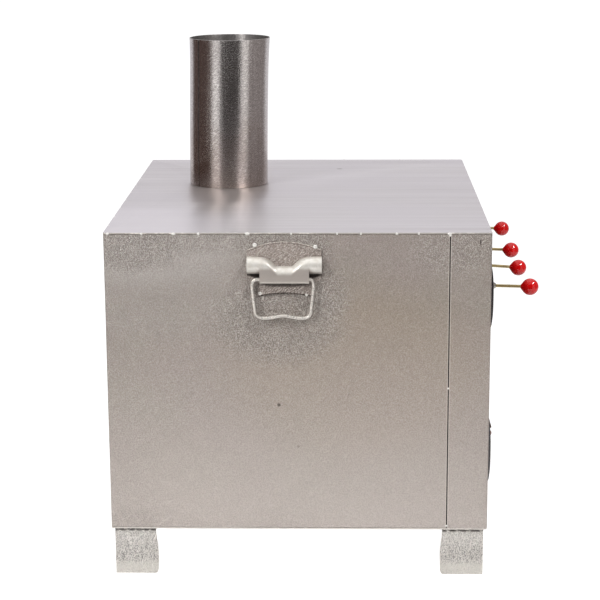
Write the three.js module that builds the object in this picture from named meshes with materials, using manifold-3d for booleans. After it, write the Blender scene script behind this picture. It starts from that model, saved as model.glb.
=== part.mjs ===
// Table-top sweet potato roaster: a charcoal-fired steel cabinet on four angle legs, with two
// roasting drawers above two charcoal drawers, a flue pipe on the top and a bail handle on each side.
// Millimetres, +Z up, the drawer fronts face -Y, and the floor is at z = 0.

import * as THREE from 'three';
import { mergeVertices } from 'three/addons/utils/BufferGeometryUtils.js';
import Module from 'manifold-3d';

const wasm = await Module();
wasm.setup();

// Cabinet
const BODY_WIDTH = 552;
const BODY_DEPTH = 440;
const BODY_HEIGHT = 353;
const SHEET = 1.5;
const CORNER_RADIUS = 3;
const FRONT_RETURN = 47;
const SEAM_GAP = 0.8;
const FIT = 0.3;
const CUT = 2;

// Chamber inside the cabinet
const INSULATION = 24;
const LINER_SHEET = 1.2;
const DIVIDER_SHEET = 1.2;
const DIVIDER_REAR_SPACE = 40;

// Legs
const LEG_STAND = 57;
const LEG_FLANGE = 50;
const LEG_THICKNESS = 5;
const LEG_INSET = 4;
const LEG_TOE_RADIUS = 2;
const TACK_GAP = 1.6;
const TACK_RADIUS = 2.2;
const TACK_SINK = 1;
const TACK_SHARES = [0.12, 0.36, 0.63, 0.88];

// Flue
const PIPE_DIAMETER = 100;
const PIPE_WALL = 1.2;
const PIPE_HEIGHT = 190;
const PIPE_X = 74;
const PIPE_FROM_BACK = 123;
const COLLAR_WALL = 1.5;
const COLLAR_FIT = 0.4;
const COLLAR_RISE = 30;
const COLLAR_DIP = 4;
const COLLAR_FLANGE = 12;

// Drawer fronts: the space between two of them, beside them, above and below them
const FRONT_GAP = 4;
const FRONT_SIDE_MARGIN = 29;
const FRONT_PLATE = 4.7;
const FRONT_RADIUS = 4;
const ROAST_FRONT_HEIGHT = 72;
const ROAST_FRONT_DROP = 46;
const CHARCOAL_FRONT_HEIGHT = 74;
const CHARCOAL_FRONT_RISE = 49;

// Trays behind the fronts, which lap over them, and what carries them
const FRONT_LAP_WIDTH = 12.5;
const FRONT_LAP_HEIGHT = 9;
const TRAY_REAR_SPACE = 68;
const TRAY_SHEET = 1.2;
const OPENING_SIDE_SPACE = 2;
const OPENING_END_SPACE = 2;
const RUNNER_LAP = 12;
const RUNNER_UPSTAND = 15;
const RUNNER_SHEET = 1.5;
const RUNNER_REAR_SPACE = 26;

// Drawer handles: a rod with a ball knob at its end and a collar at its foot
const ROD_DIAMETER = 3.2;
const ROD_SPACING = 145;
const ROD_HOLE_FIT = 0.6;
const ROD_HEAD_DIAMETER = 8;
const ROD_HEAD_HEIGHT = 2.4;
const KNOB_REACH = 51.5;
const KNOB_DIAMETER = 20;
const KNOB_NECK_DIAMETER = 4.6;
const KNOB_NECK_REACH = 13;
const KNOB_BORE_DEPTH = 9;
const COLLAR_NUT_DIAMETER = 9;
const COLLAR_NUT_TIP = 5.6;
const COLLAR_NUT_LENGTH = 5.5;
// Each rod sits a little off the front's mid height and droops a little, in degrees
const HANDLE_RODS = [
  { side: 'left', place: 'outer', riseShare: 0.05, droop: 0.9 },
  { side: 'left', place: 'inner', riseShare: -0.03, droop: 3.3 },
  { side: 'right', place: 'inner', riseShare: -0.03, droop: 1.5 },
  { side: 'right', place: 'outer', riseShare: -0.02, droop: 1 },
];

// Charcoal drawer fittings
const GRATE_SIDE_SPACE = 6.8;
const GRATE_END_SPACE = 12.3;
const GRATE_THICKNESS = 4;
const GRATE_FOOT_HEIGHT = 14;
const GRATE_FOOT_RADIUS = 5;
const GRATE_SLOT_WIDTH = 9;
const GRATE_SLOT_PITCH = 24;
const GRATE_MARGIN = 14;
const PULL_WIDTH = 90;
const PULL_HEIGHT = 14;
const PULL_REACH = 6.5;
const PULL_SHEET = 1.5;

// Flame spreader between the fire space and the roasting drawers
const SPREADER_DROP = 39;
const SPREADER_SHEET = 1.5;
const SPREADER_FLANGE = 12;
const SPREADER_REAR_SPACE = 61;
const SPREADER_SLOT_WIDTH = 12;
const SPREADER_SLOT_PITCH = 46;
const SPREADER_MARGIN = 30;

// Side handles, measured down from the cabinet's top edge
const HANDLE_Y = 14.5;
const PLATE_SHEET = 1;
const PLATE_HALF_WIDTH = 43;
const PLATE_TOP_DROP = 10;
const PLATE_SHOULDER_DROP = 20;
const PLATE_SIDE_DROP = 52;
const PLATE_TAIL_HALF_WIDTH = 31;
const PLATE_TAIL_DROP = 74;
const PLATE_TAIL_RISE = 4;
const PLATE_NOTCH = 8;
const SPOT_RADIUS = 2.4;
const SPOT_HEIGHT = 0.9;
const SPOT_TOP_OFFSET = 34;
const SPOT_TOP_DROP = 16;
const SPOT_TAIL_OFFSET = 27;
const SPOT_TAIL_DROP = 71;
const BRACKET_HALF_WIDTH = 42.5;
const BRACKET_REACH = 11.5;
const BRACKET_SHEET = 1.5;
const BARREL_DROP = 37;
const BARREL_RISE = 10;
const BARREL_DIP_TOP = 12;
const BARREL_DIP_CREST = 10.5;
const TONGUE_HALF_WIDTH = 28;
const TONGUE_LIP_RADIUS = 3;
const TONGUE_LIP_RUN = 2.5;
const BAIL_WIRE = 4;
const BAIL_PIVOT_DROP = 53;
const BAIL_PIVOT_REACH = 6.2;
const BAIL_SHIFT = 1.5;
const BAIL_INNER_END = 16;
const BAIL_TURN_START = 30;
const BAIL_TOP_HALF_WIDTH = 35;
const BAIL_TURN_DROP = 8;
const BAIL_FOOT_HALF_WIDTH = 32;
const BAIL_FOOT_DROP = 34;
const BAIL_BAR_HALF_WIDTH = 22;
const BAIL_BAR_DROP = 45;
const BAIL_BAR_BUMP = 2.7;

// Round parts' facets
const PIPE_FACETS = 48;
const ROD_FACETS = 12;
const KNOB_FACETS = 20;
const WIRE_FACETS = 8;
const TACK_FACETS = 6;
const CORNER_FACETS = 3;
const BEND_FACETS = 6;

// Places worked out from the sizes above; heights inside the cabinet start at its underside
const HALF_WIDTH = BODY_WIDTH / 2;
const HALF_DEPTH = BODY_DEPTH / 2;
const WALL_LOW = SHEET + FIT;
const WALL_HIGH = BODY_HEIGHT - SHEET - FIT;
const CASING_INNER_X = HALF_WIDTH - SHEET - FIT;
const CASING_INNER_Y = HALF_DEPTH - SHEET - FIT;
const LINER_X = CASING_INNER_X - INSULATION - FIT;
const LINER_BACK_Y = CASING_INNER_Y - INSULATION - FIT;
const LINER_LOW = WALL_LOW + INSULATION + FIT;
const LINER_HIGH = WALL_HIGH - INSULATION - FIT;
const CHAMBER_X = LINER_X - LINER_SHEET;
const CHAMBER_BACK_Y = LINER_BACK_Y - LINER_SHEET;
const CHAMBER_LOW = LINER_LOW + LINER_SHEET;
const CHAMBER_HIGH = LINER_HIGH - LINER_SHEET;
const DIVIDER_FACE_X = DIVIDER_SHEET / 2;
const PIPE_Y = HALF_DEPTH - PIPE_FROM_BACK;
const COLLAR_RADIUS = PIPE_DIAMETER / 2 - PIPE_WALL - COLLAR_FIT;
const FRONT_WIDTH = HALF_WIDTH - FRONT_SIDE_MARGIN - FRONT_GAP / 2;
const DRAWER_X = (FRONT_WIDTH + FRONT_GAP) / 2;
const ROAST_Z = BODY_HEIGHT - ROAST_FRONT_DROP - ROAST_FRONT_HEIGHT / 2;
const CHARCOAL_Z = CHARCOAL_FRONT_RISE + CHARCOAL_FRONT_HEIGHT / 2;
const FRONT_FACE_Y = -HALF_DEPTH - FIT - FRONT_PLATE;
const TRAY_FRONT_Y = -HALF_DEPTH;
const TRAY_BACK_Y = CHAMBER_BACK_Y - TRAY_REAR_SPACE;
const TRAY_MIDDLE_Y = (TRAY_FRONT_Y + TRAY_BACK_Y) / 2;
const TRAY_HALF_WIDTH = FRONT_WIDTH / 2 - FRONT_LAP_WIDTH;
const ROAST_TRAY_HEIGHT = ROAST_FRONT_HEIGHT - 2 * FRONT_LAP_HEIGHT;
const CHARCOAL_TRAY_HEIGHT = CHARCOAL_FRONT_HEIGHT - 2 * FRONT_LAP_HEIGHT;
const ROAST_TRAY_LOW = ROAST_Z - ROAST_TRAY_HEIGHT / 2;
const CHARCOAL_TRAY_LOW = CHARCOAL_Z - CHARCOAL_TRAY_HEIGHT / 2;
const SPREADER_Z = ROAST_TRAY_LOW - SPREADER_DROP;
const ROD_HOLE_RADIUS = ROD_DIAMETER / 2 + ROD_HOLE_FIT;
const FRAME_SHIFT = (KNOB_REACH + KNOB_DIAMETER / 2) / 2;

// Finishes
const finish = (color, roughness, metalness) =>
  new THREE.MeshStandardMaterial({ color, roughness, metalness, flatShading: true });
const HAMMERTONE = finish(0xa69e97, 0.45, 0.4);
const SATIN_STEEL = finish(0xc9c5c7, 0.35, 0.9);
const PIPE_STEEL = finish(0x8b8581, 0.3, 1);
const HANDLE_SILVER = finish(0xc2bcb4, 0.4, 0.6);
const BLACK_ENAMEL = finish(0x1e1c1b, 0.4, 0.1);
const ZINC_ROD = finish(0x958868, 0.35, 0.9);
const GREY_NUT = finish(0x8e8c88, 0.4, 0.9);
const RED_BALL = finish(0xb92e2e, 0.15, 0);
const PLAIN_SHEET = finish(0x8c8a86, 0.5, 0.8);
const FIRE_IRON = finish(0x3a3634, 0.8, 0.5);
const MINERAL_WOOL = finish(0xb9a983, 1, 0);

// Solids: joining and cutting closed shapes
function solidOf(geometry) {
  const bare = geometry.index ? geometry.toNonIndexed() : geometry.clone();
  bare.deleteAttribute('normal');
  bare.deleteAttribute('uv');
  const merged = mergeVertices(bare);
  return new wasm.Manifold(new wasm.Mesh({
    numProp: 3,
    vertProperties: new Float32Array(merged.attributes.position.array),
    triVerts: new Uint32Array(merged.index.array),
  }));
}

function geometryOf(solid) {
  const mesh = solid.getMesh();
  const geometry = new THREE.BufferGeometry();
  geometry.setAttribute('position', new THREE.BufferAttribute(mesh.vertProperties, 3));
  geometry.setIndex(new THREE.BufferAttribute(mesh.triVerts, 1));
  return geometry;
}

const cut = (geometry, ...tools) =>
  geometryOf(tools.reduce((solid, tool) => solid.subtract(solidOf(tool)), solidOf(geometry)));
const join = (geometry, ...pieces) =>
  geometryOf(pieces.reduce((solid, piece) => solid.add(solidOf(piece)), solidOf(geometry)));

// A box between two corners
function block(x0, x1, y0, y1, z0, z1) {
  const box = new THREE.BoxGeometry(x1 - x0, y1 - y0, z1 - z0);
  return box.translate((x0 + x1) / 2, (y0 + y1) / 2, (z0 + z1) / 2);
}

// A round bar along Y from y0 to y1
function barAlongY(radius, x, y0, y1, z, facets) {
  const bar = new THREE.CylinderGeometry(radius, radius, y1 - y0, facets);
  return bar.translate(x, (y0 + y1) / 2, z);
}

// A round post along Z from z0 to z1
function postAlongZ(radius, x, y, z0, z1, facets) {
  const post = new THREE.CylinderGeometry(radius, radius, z1 - z0, facets);
  return post.rotateX(Math.PI / 2).translate(x, y, (z0 + z1) / 2);
}

// A turned shape on the Z axis; the profile closes on itself or ends on the axis
const turned = (profile, facets) =>
  new THREE.LatheGeometry(profile.map(([r, z]) => new THREE.Vector2(r, z)), facets)
    .rotateX(Math.PI / 2);

// A rectangle with round corners, drawn in the plane
function roundedRectangle(x0, x1, y0, y1, radius) {
  const shape = new THREE.Shape();
  shape.moveTo(x0 + radius, y0);
  shape.lineTo(x1 - radius, y0);
  shape.absarc(x1 - radius, y0 + radius, radius, -Math.PI / 2, 0, false);
  shape.lineTo(x1, y1 - radius);
  shape.absarc(x1 - radius, y1 - radius, radius, 0, Math.PI / 2, false);
  shape.lineTo(x0 + radius, y1);
  shape.absarc(x0 + radius, y1 - radius, radius, Math.PI / 2, Math.PI, false);
  shape.lineTo(x0, y0 + radius);
  shape.absarc(x0 + radius, y0 + radius, radius, Math.PI, 1.5 * Math.PI, false);
  return shape;
}

// A flat shape given its thickness along Z, from z0 to z1
function slab(shape, z0, z1) {
  const options = { depth: z1 - z0, bevelEnabled: false, curveSegments: CORNER_FACETS };
  return new THREE.ExtrudeGeometry(shape, options).translate(0, 0, z0);
}

// A closed polygon with straight sides
const polygon = (points) => new THREE.Shape(points.map(([x, y]) => new THREE.Vector2(x, y)));

// A plane shape in x and z given its length along Y, from y0 to y1
function prismAlongY(points, y0, y1) {
  const options = { depth: y1 - y0, bevelEnabled: false };
  return new THREE.ExtrudeGeometry(polygon(points), options).rotateX(Math.PI / 2).translate(0, y1, 0);
}

// A bent sheet: one outer line at each station, thickened to the right of its direction.
// Each station is { y, line } with line a list of [x, z] points.
function bentSheet(stations, thickness) {
  const count = stations[0].line.length;
  const positions = [];
  for (const { y, line } of stations) {
    line.forEach(([x, z], i) => {
      const before = line[Math.max(i - 1, 0)];
      const after = line[Math.min(i + 1, count - 1)];
      const along = new THREE.Vector2(after[0] - before[0], after[1] - before[1]).normalize();
      positions.push(x, y, z, x + thickness * along.y, y, z - thickness * along.x);
    });
  }
  const at = (station, point, inner) => 2 * (station * count + point) + inner;
  const faces = [];
  const quad = (a, b, c, d) => faces.push(a, b, c, a, c, d);
  const last = stations.length - 1;
  for (let s = 0; s < last; s += 1) {
    for (let i = 0; i < count - 1; i += 1) {
      quad(at(s, i, 0), at(s, i + 1, 0), at(s + 1, i + 1, 0), at(s + 1, i, 0));
      quad(at(s, i, 1), at(s + 1, i, 1), at(s + 1, i + 1, 1), at(s, i + 1, 1));
    }
    quad(at(s, 0, 0), at(s + 1, 0, 0), at(s + 1, 0, 1), at(s, 0, 1));
    quad(at(s, count - 1, 0), at(s, count - 1, 1), at(s + 1, count - 1, 1), at(s + 1, count - 1, 0));
  }
  for (let i = 0; i < count - 1; i += 1) {
    quad(at(0, i, 0), at(0, i, 1), at(0, i + 1, 1), at(0, i + 1, 0));
    quad(at(last, i, 0), at(last, i + 1, 0), at(last, i + 1, 1), at(last, i, 1));
  }
  const geometry = new THREE.BufferGeometry();
  geometry.setAttribute('position', new THREE.Float32BufferAttribute(positions, 3));
  geometry.setIndex(faces);
  return geometry;
}

function piece(name, geometry, material) {
  const mesh = new THREE.Mesh(geometry, material);
  mesh.name = name;
  return mesh;
}

function groupOf(children, x = 0, y = 0, z = 0) {
  const group = new THREE.Group();
  group.add(...children);
  group.position.set(x, y, z);
  return group;
}

// Casing: wrap, front pan, top and bottom panels
function outerWrap() {
  const frontY = -HALF_DEPTH + FRONT_RETURN + SEAM_GAP;
  const outer = CORNER_RADIUS;
  const inner = CORNER_RADIUS - SHEET;
  const shape = new THREE.Shape();
  shape.moveTo(-HALF_WIDTH, frontY);
  shape.lineTo(-HALF_WIDTH + SHEET, frontY);
  shape.lineTo(-HALF_WIDTH + SHEET, HALF_DEPTH - outer);
  shape.absarc(-HALF_WIDTH + outer, HALF_DEPTH - outer, inner, Math.PI, Math.PI / 2, true);
  shape.lineTo(HALF_WIDTH - outer, HALF_DEPTH - SHEET);
  shape.absarc(HALF_WIDTH - outer, HALF_DEPTH - outer, inner, Math.PI / 2, 0, true);
  shape.lineTo(HALF_WIDTH - SHEET, frontY);
  shape.lineTo(HALF_WIDTH, frontY);
  shape.lineTo(HALF_WIDTH, HALF_DEPTH - outer);
  shape.absarc(HALF_WIDTH - outer, HALF_DEPTH - outer, outer, 0, Math.PI / 2, false);
  shape.lineTo(-HALF_WIDTH + outer, HALF_DEPTH);
  shape.absarc(-HALF_WIDTH + outer, HALF_DEPTH - outer, outer, Math.PI / 2, Math.PI, false);
  return slab(shape, WALL_LOW, WALL_HIGH);
}

function frontPanel() {
  const backY = -HALF_DEPTH + FRONT_RETURN;
  const outer = CORNER_RADIUS;
  const inner = CORNER_RADIUS - SHEET;
  const shape = new THREE.Shape();
  shape.moveTo(-HALF_WIDTH, backY);
  shape.lineTo(-HALF_WIDTH, -HALF_DEPTH + outer);
  shape.absarc(-HALF_WIDTH + outer, -HALF_DEPTH + outer, outer, Math.PI, 1.5 * Math.PI, false);
  shape.lineTo(HALF_WIDTH - outer, -HALF_DEPTH);
  shape.absarc(HALF_WIDTH - outer, -HALF_DEPTH + outer, outer, 1.5 * Math.PI, 2 * Math.PI, false);
  shape.lineTo(HALF_WIDTH, backY);
  shape.lineTo(HALF_WIDTH - SHEET, backY);
  shape.lineTo(HALF_WIDTH - SHEET, -HALF_DEPTH + outer);
  shape.absarc(HALF_WIDTH - outer, -HALF_DEPTH + outer, inner, 2 * Math.PI, 1.5 * Math.PI, true);
  shape.lineTo(-HALF_WIDTH + outer, -HALF_DEPTH + SHEET);
  shape.absarc(-HALF_WIDTH + outer, -HALF_DEPTH + outer, inner, 1.5 * Math.PI, Math.PI, true);
  shape.lineTo(-HALF_WIDTH + SHEET, backY);
  const openings = [];
  for (const x of [-DRAWER_X, DRAWER_X]) {
    for (const [z, height] of [[ROAST_Z, ROAST_TRAY_HEIGHT], [CHARCOAL_Z, CHARCOAL_TRAY_HEIGHT]]) {
      const halfWidth = TRAY_HALF_WIDTH + OPENING_SIDE_SPACE;
      const halfHeight = height / 2 + OPENING_END_SPACE;
      openings.push(block(x - halfWidth, x + halfWidth, -HALF_DEPTH - CUT, -HALF_DEPTH + SHEET + CUT,
        z - halfHeight, z + halfHeight));
    }
  }
  return cut(slab(shape, WALL_LOW, WALL_HIGH), ...openings);
}

const footprint = () =>
  roundedRectangle(-HALF_WIDTH, HALF_WIDTH, -HALF_DEPTH, HALF_DEPTH, CORNER_RADIUS);

function topPanel() {
  const sheet = slab(footprint(), BODY_HEIGHT - SHEET, BODY_HEIGHT);
  const hole = postAlongZ(COLLAR_RADIUS + FIT, PIPE_X, PIPE_Y, BODY_HEIGHT - SHEET - CUT,
    BODY_HEIGHT + CUT, PIPE_FACETS);
  return cut(sheet, hole);
}

// Chamber: liner, divider, runners, spreaders and insulation
function chamberLiner() {
  const frontY = -CASING_INNER_Y;
  const shell = block(-LINER_X, LINER_X, frontY, LINER_BACK_Y, LINER_LOW, LINER_HIGH);
  const inside = block(-CHAMBER_X, CHAMBER_X, frontY - CUT, CHAMBER_BACK_Y, CHAMBER_LOW, CHAMBER_HIGH);
  const flue = postAlongZ(COLLAR_RADIUS + FIT, PIPE_X, PIPE_Y, CHAMBER_HIGH - CUT,
    LINER_HIGH + CUT, PIPE_FACETS);
  return cut(shell, inside, flue);
}

const centreDivider = () =>
  block(-DIVIDER_FACE_X, DIVIDER_FACE_X, -CASING_INNER_Y, CHAMBER_BACK_Y - DIVIDER_REAR_SPACE,
    CHAMBER_LOW + FIT, CHAMBER_HIGH - FIT);

// An angle whose shelf runs from a wall to under the tray's edge; inward is the shelf's direction
function runner(wallX, trayEdgeX, inward, trayLow) {
  const shelfTop = trayLow - FIT;
  const shelfLow = shelfTop - RUNNER_SHEET;
  const face = wallX + inward * FIT;
  const shelfEnd = trayEdgeX + inward * RUNNER_LAP;
  const angle = [
    [face, shelfLow],
    [shelfEnd, shelfLow],
    [shelfEnd, shelfTop],
    [face + inward * RUNNER_SHEET, shelfTop],
    [face + inward * RUNNER_SHEET, shelfTop + RUNNER_UPSTAND],
    [face, shelfTop + RUNNER_UPSTAND],
  ];
  return prismAlongY(angle, -CASING_INNER_Y, CHAMBER_BACK_Y - RUNNER_REAR_SPACE);
}

// The spreader between the divider and one wall, drawn about its own middle in x
function flameSpreader() {
  const high = (CHAMBER_X - DIVIDER_FACE_X) / 2 - FIT;
  const low = -high;
  const front = -CASING_INNER_Y;
  const back = CHAMBER_BACK_Y - SPREADER_REAR_SPACE;
  const tray = block(low, high, front, back, SPREADER_Z, SPREADER_Z + SPREADER_SHEET + SPREADER_FLANGE);
  const trough = block(low + SPREADER_SHEET, high - SPREADER_SHEET, front - CUT, back + CUT,
    SPREADER_Z + SPREADER_SHEET, SPREADER_Z + SPREADER_SHEET + SPREADER_FLANGE + CUT);
  const slots = [];
  const count = Math.floor((high - low - 2 * SPREADER_MARGIN) / SPREADER_SLOT_PITCH);
  for (let i = 0; i < count; i += 1) {
    const x = (i - (count - 1) / 2) * SPREADER_SLOT_PITCH;
    slots.push(block(x - SPREADER_SLOT_WIDTH / 2, x + SPREADER_SLOT_WIDTH / 2,
      front + SPREADER_MARGIN, back - SPREADER_MARGIN, SPREADER_Z - CUT,
      SPREADER_Z + SPREADER_SHEET + CUT));
  }
  return cut(tray, trough, ...slots);
}

function insulationSlabs() {
  const front = -CASING_INNER_Y;
  const end = HALF_DEPTH - CORNER_RADIUS - FIT;
  const side = (x0, x1) => block(x0, x1, -end, end, WALL_LOW, WALL_HIGH);
  const flangeSpace = postAlongZ(COLLAR_RADIUS + COLLAR_FLANGE + FIT, PIPE_X, PIPE_Y, LINER_HIGH,
    BODY_HEIGHT, PIPE_FACETS);
  const top = block(-LINER_X, LINER_X, front, LINER_BACK_Y, LINER_HIGH + FIT, WALL_HIGH);
  return [
    piece('insulation_left', side(-CASING_INNER_X, -CASING_INNER_X + INSULATION), MINERAL_WOOL),
    piece('insulation_right', side(CASING_INNER_X - INSULATION, CASING_INNER_X), MINERAL_WOOL),
    piece('insulation_back', block(-LINER_X, LINER_X, CASING_INNER_Y - INSULATION, CASING_INNER_Y,
      WALL_LOW, WALL_HIGH), MINERAL_WOOL),
    piece('insulation_top', cut(top, flangeSpace), MINERAL_WOOL),
    piece('insulation_bottom', block(-LINER_X, LINER_X, front, LINER_BACK_Y, WALL_LOW,
      WALL_LOW + INSULATION), MINERAL_WOOL),
  ];
}

// Flue: the collar under the top panel and the pipe that slips over it
function flueCollar() {
  const low = CHAMBER_HIGH - COLLAR_DIP;
  const high = BODY_HEIGHT + COLLAR_RISE;
  const inner = COLLAR_RADIUS - COLLAR_WALL;
  const flange = COLLAR_RADIUS + COLLAR_FLANGE;
  const profile = [
    [inner, low],
    [COLLAR_RADIUS, low],
    [COLLAR_RADIUS, WALL_HIGH - COLLAR_WALL],
    [flange, WALL_HIGH - COLLAR_WALL],
    [flange, WALL_HIGH],
    [COLLAR_RADIUS, WALL_HIGH],
    [COLLAR_RADIUS, high],
    [inner, high],
    [inner, low],
  ];
  return turned(profile, PIPE_FACETS).translate(PIPE_X, PIPE_Y, 0);
}

function chimneyPipe() {
  const low = BODY_HEIGHT + FIT;
  const high = BODY_HEIGHT + PIPE_HEIGHT;
  const outer = PIPE_DIAMETER / 2;
  const inner = outer - PIPE_WALL;
  const profile = [[inner, low], [outer, low], [outer, high], [inner, high], [inner, low]];
  return turned(profile, PIPE_FACETS).translate(PIPE_X, PIPE_Y, 0);
}

// Legs: an angle whose tacks reach up to the cabinet; drawn for the +x, +y corner
function legAngle() {
  const toe = LEG_TOE_RADIUS;
  const shape = new THREE.Shape();
  shape.moveTo(0, 0);
  shape.lineTo(-LEG_FLANGE, 0);
  shape.lineTo(-LEG_FLANGE, -LEG_THICKNESS + toe);
  shape.absarc(-LEG_FLANGE + toe, -LEG_THICKNESS + toe, toe, Math.PI, 1.5 * Math.PI, false);
  shape.lineTo(-LEG_THICKNESS, -LEG_THICKNESS);
  shape.lineTo(-LEG_THICKNESS, -LEG_FLANGE + toe);
  shape.absarc(-LEG_THICKNESS + toe, -LEG_FLANGE + toe, toe, Math.PI, 1.5 * Math.PI, false);
  shape.lineTo(0, -LEG_FLANGE);
  return slab(shape, 0, LEG_STAND - TACK_GAP);
}

function tackedLeg() {
  const tack = (x, y) => postAlongZ(TACK_RADIUS, x, y, LEG_STAND - TACK_GAP - TACK_SINK,
    LEG_STAND - FIT, TACK_FACETS);
  const middle = -LEG_THICKNESS / 2;
  const tacks = TACK_SHARES.flatMap((share) => [
    tack(middle, -share * LEG_FLANGE),
    tack(-share * LEG_FLANGE, middle),
  ]);
  return join(legAngle(), ...tacks);
}

function legs() {
  const corners = [
    ['leg_back_right', 1, 1, 0],
    ['leg_back_left', -1, 1, Math.PI / 2],
    ['leg_front_left', -1, -1, Math.PI],
    ['leg_front_right', 1, -1, -Math.PI / 2],
  ];
  return corners.map(([name, signX, signY, turn]) => {
    const mesh = piece(name, tackedLeg(), HAMMERTONE);
    mesh.position.set(signX * (HALF_WIDTH - LEG_INSET), signY * (HALF_DEPTH - LEG_INSET), 0);
    mesh.rotation.z = turn;
    return mesh;
  });
}

// Drawers, each in its own group whose x is the drawer's middle and whose z is the front's middle
function tray(height, rodHoles) {
  const halfWidth = TRAY_HALF_WIDTH;
  const shell = block(-halfWidth, halfWidth, TRAY_FRONT_Y, TRAY_BACK_Y, -height / 2, height / 2);
  const inside = block(-halfWidth + TRAY_SHEET, halfWidth - TRAY_SHEET, TRAY_FRONT_Y + TRAY_SHEET,
    TRAY_BACK_Y - TRAY_SHEET, -height / 2 + TRAY_SHEET, height / 2 + CUT);
  return cut(shell, inside, ...rodHoles);
}

function frontPlate(height, rodHoles) {
  const shape = roundedRectangle(-FRONT_WIDTH / 2, FRONT_WIDTH / 2, -height / 2, height / 2,
    FRONT_RADIUS);
  const plate = slab(shape, 0, FRONT_PLATE).rotateX(Math.PI / 2).translate(0, -HALF_DEPTH - FIT, 0);
  return rodHoles.length ? cut(plate, ...rodHoles) : plate;
}

const rodX = ({ side, place }) => {
  const outward = side === 'left' ? -1 : 1;
  return (place === 'outer' ? outward : -outward) * ROD_SPACING / 2;
};
const rodZ = ({ riseShare }) => riseShare * ROAST_FRONT_HEIGHT;

// The rod runs along -Y from its head behind the tray's front wall; y = 0 is the front plate's face
function handleRod() {
  const behind = FRONT_PLATE + FIT + TRAY_SHEET + FIT;
  const tip = KNOB_REACH - FRONT_PLATE - FIT - KNOB_NECK_REACH + KNOB_BORE_DEPTH - FIT;
  const radius = ROD_DIAMETER / 2;
  const head = ROD_HEAD_DIAMETER / 2;
  const profile = [
    [0, -behind - ROD_HEAD_HEIGHT],
    [head, -behind - ROD_HEAD_HEIGHT],
    [head, -behind],
    [radius, -behind],
    [radius, tip],
    [0, tip],
  ];
  return turned(profile, ROD_FACETS).rotateX(Math.PI / 2);
}

function collarNut() {
  const bore = ROD_HOLE_RADIUS;
  const profile = [
    [bore, FIT],
    [COLLAR_NUT_DIAMETER / 2, FIT],
    [COLLAR_NUT_TIP / 2, FIT + COLLAR_NUT_LENGTH],
    [bore, FIT + COLLAR_NUT_LENGTH],
    [bore, FIT],
  ];
  return turned(profile, ROD_FACETS).rotateX(Math.PI / 2);
}

// A ball that draws in to a neck, with a blind bore for the rod
function ballKnob() {
  const centre = KNOB_REACH - FRONT_PLATE - FIT;
  const radius = KNOB_DIAMETER / 2;
  const neck = KNOB_NECK_DIAMETER / 2;
  const neckAt = centre - KNOB_NECK_REACH;
  const bore = ROD_DIAMETER / 2 + FIT;
  const tangent = Math.acos((radius - neck) / KNOB_NECK_REACH);
  const profile = [[0, neckAt + KNOB_BORE_DEPTH], [bore, neckAt + KNOB_BORE_DEPTH], [bore, neckAt],
    [neck, neckAt]];
  for (let i = 0; i <= 2 * BEND_FACETS; i += 1) {
    const angle = tangent + (Math.PI - tangent) * i / (2 * BEND_FACETS);
    const r = i === 2 * BEND_FACETS ? 0 : radius * Math.sin(angle);
    profile.push([r, centre - radius * Math.cos(angle)]);
  }
  return turned(profile, KNOB_FACETS).rotateX(Math.PI / 2);
}

function rodAssembly(rod) {
  const label = `${rod.side}_${rod.place}`;
  const nut = piece(`rod_collar_${label}`, collarNut(), GREY_NUT);
  const tilted = groupOf([
    piece(`handle_rod_${label}`, handleRod(), ZINC_ROD),
    piece(`ball_knob_${label}`, ballKnob(), RED_BALL),
  ]);
  tilted.rotation.x = THREE.MathUtils.degToRad(rod.droop);
  return groupOf([nut, tilted], rodX(rod), FRONT_FACE_Y, rodZ(rod));
}

function roastDrawer(side) {
  const rods = HANDLE_RODS.filter((rod) => rod.side === side);
  const holes = rods.map((rod) => barAlongY(ROD_HOLE_RADIUS, rodX(rod), FRONT_FACE_Y - CUT,
    TRAY_FRONT_Y + TRAY_SHEET + CUT, rodZ(rod), ROD_FACETS));
  return groupOf([
    piece(`roast_tray_${side}`, tray(ROAST_TRAY_HEIGHT, holes), PLAIN_SHEET),
    piece(`roast_front_${side}`, frontPlate(ROAST_FRONT_HEIGHT, holes), BLACK_ENAMEL),
    ...rods.map(rodAssembly),
  ], side === 'left' ? -DRAWER_X : DRAWER_X, 0, ROAST_Z);
}

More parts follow.
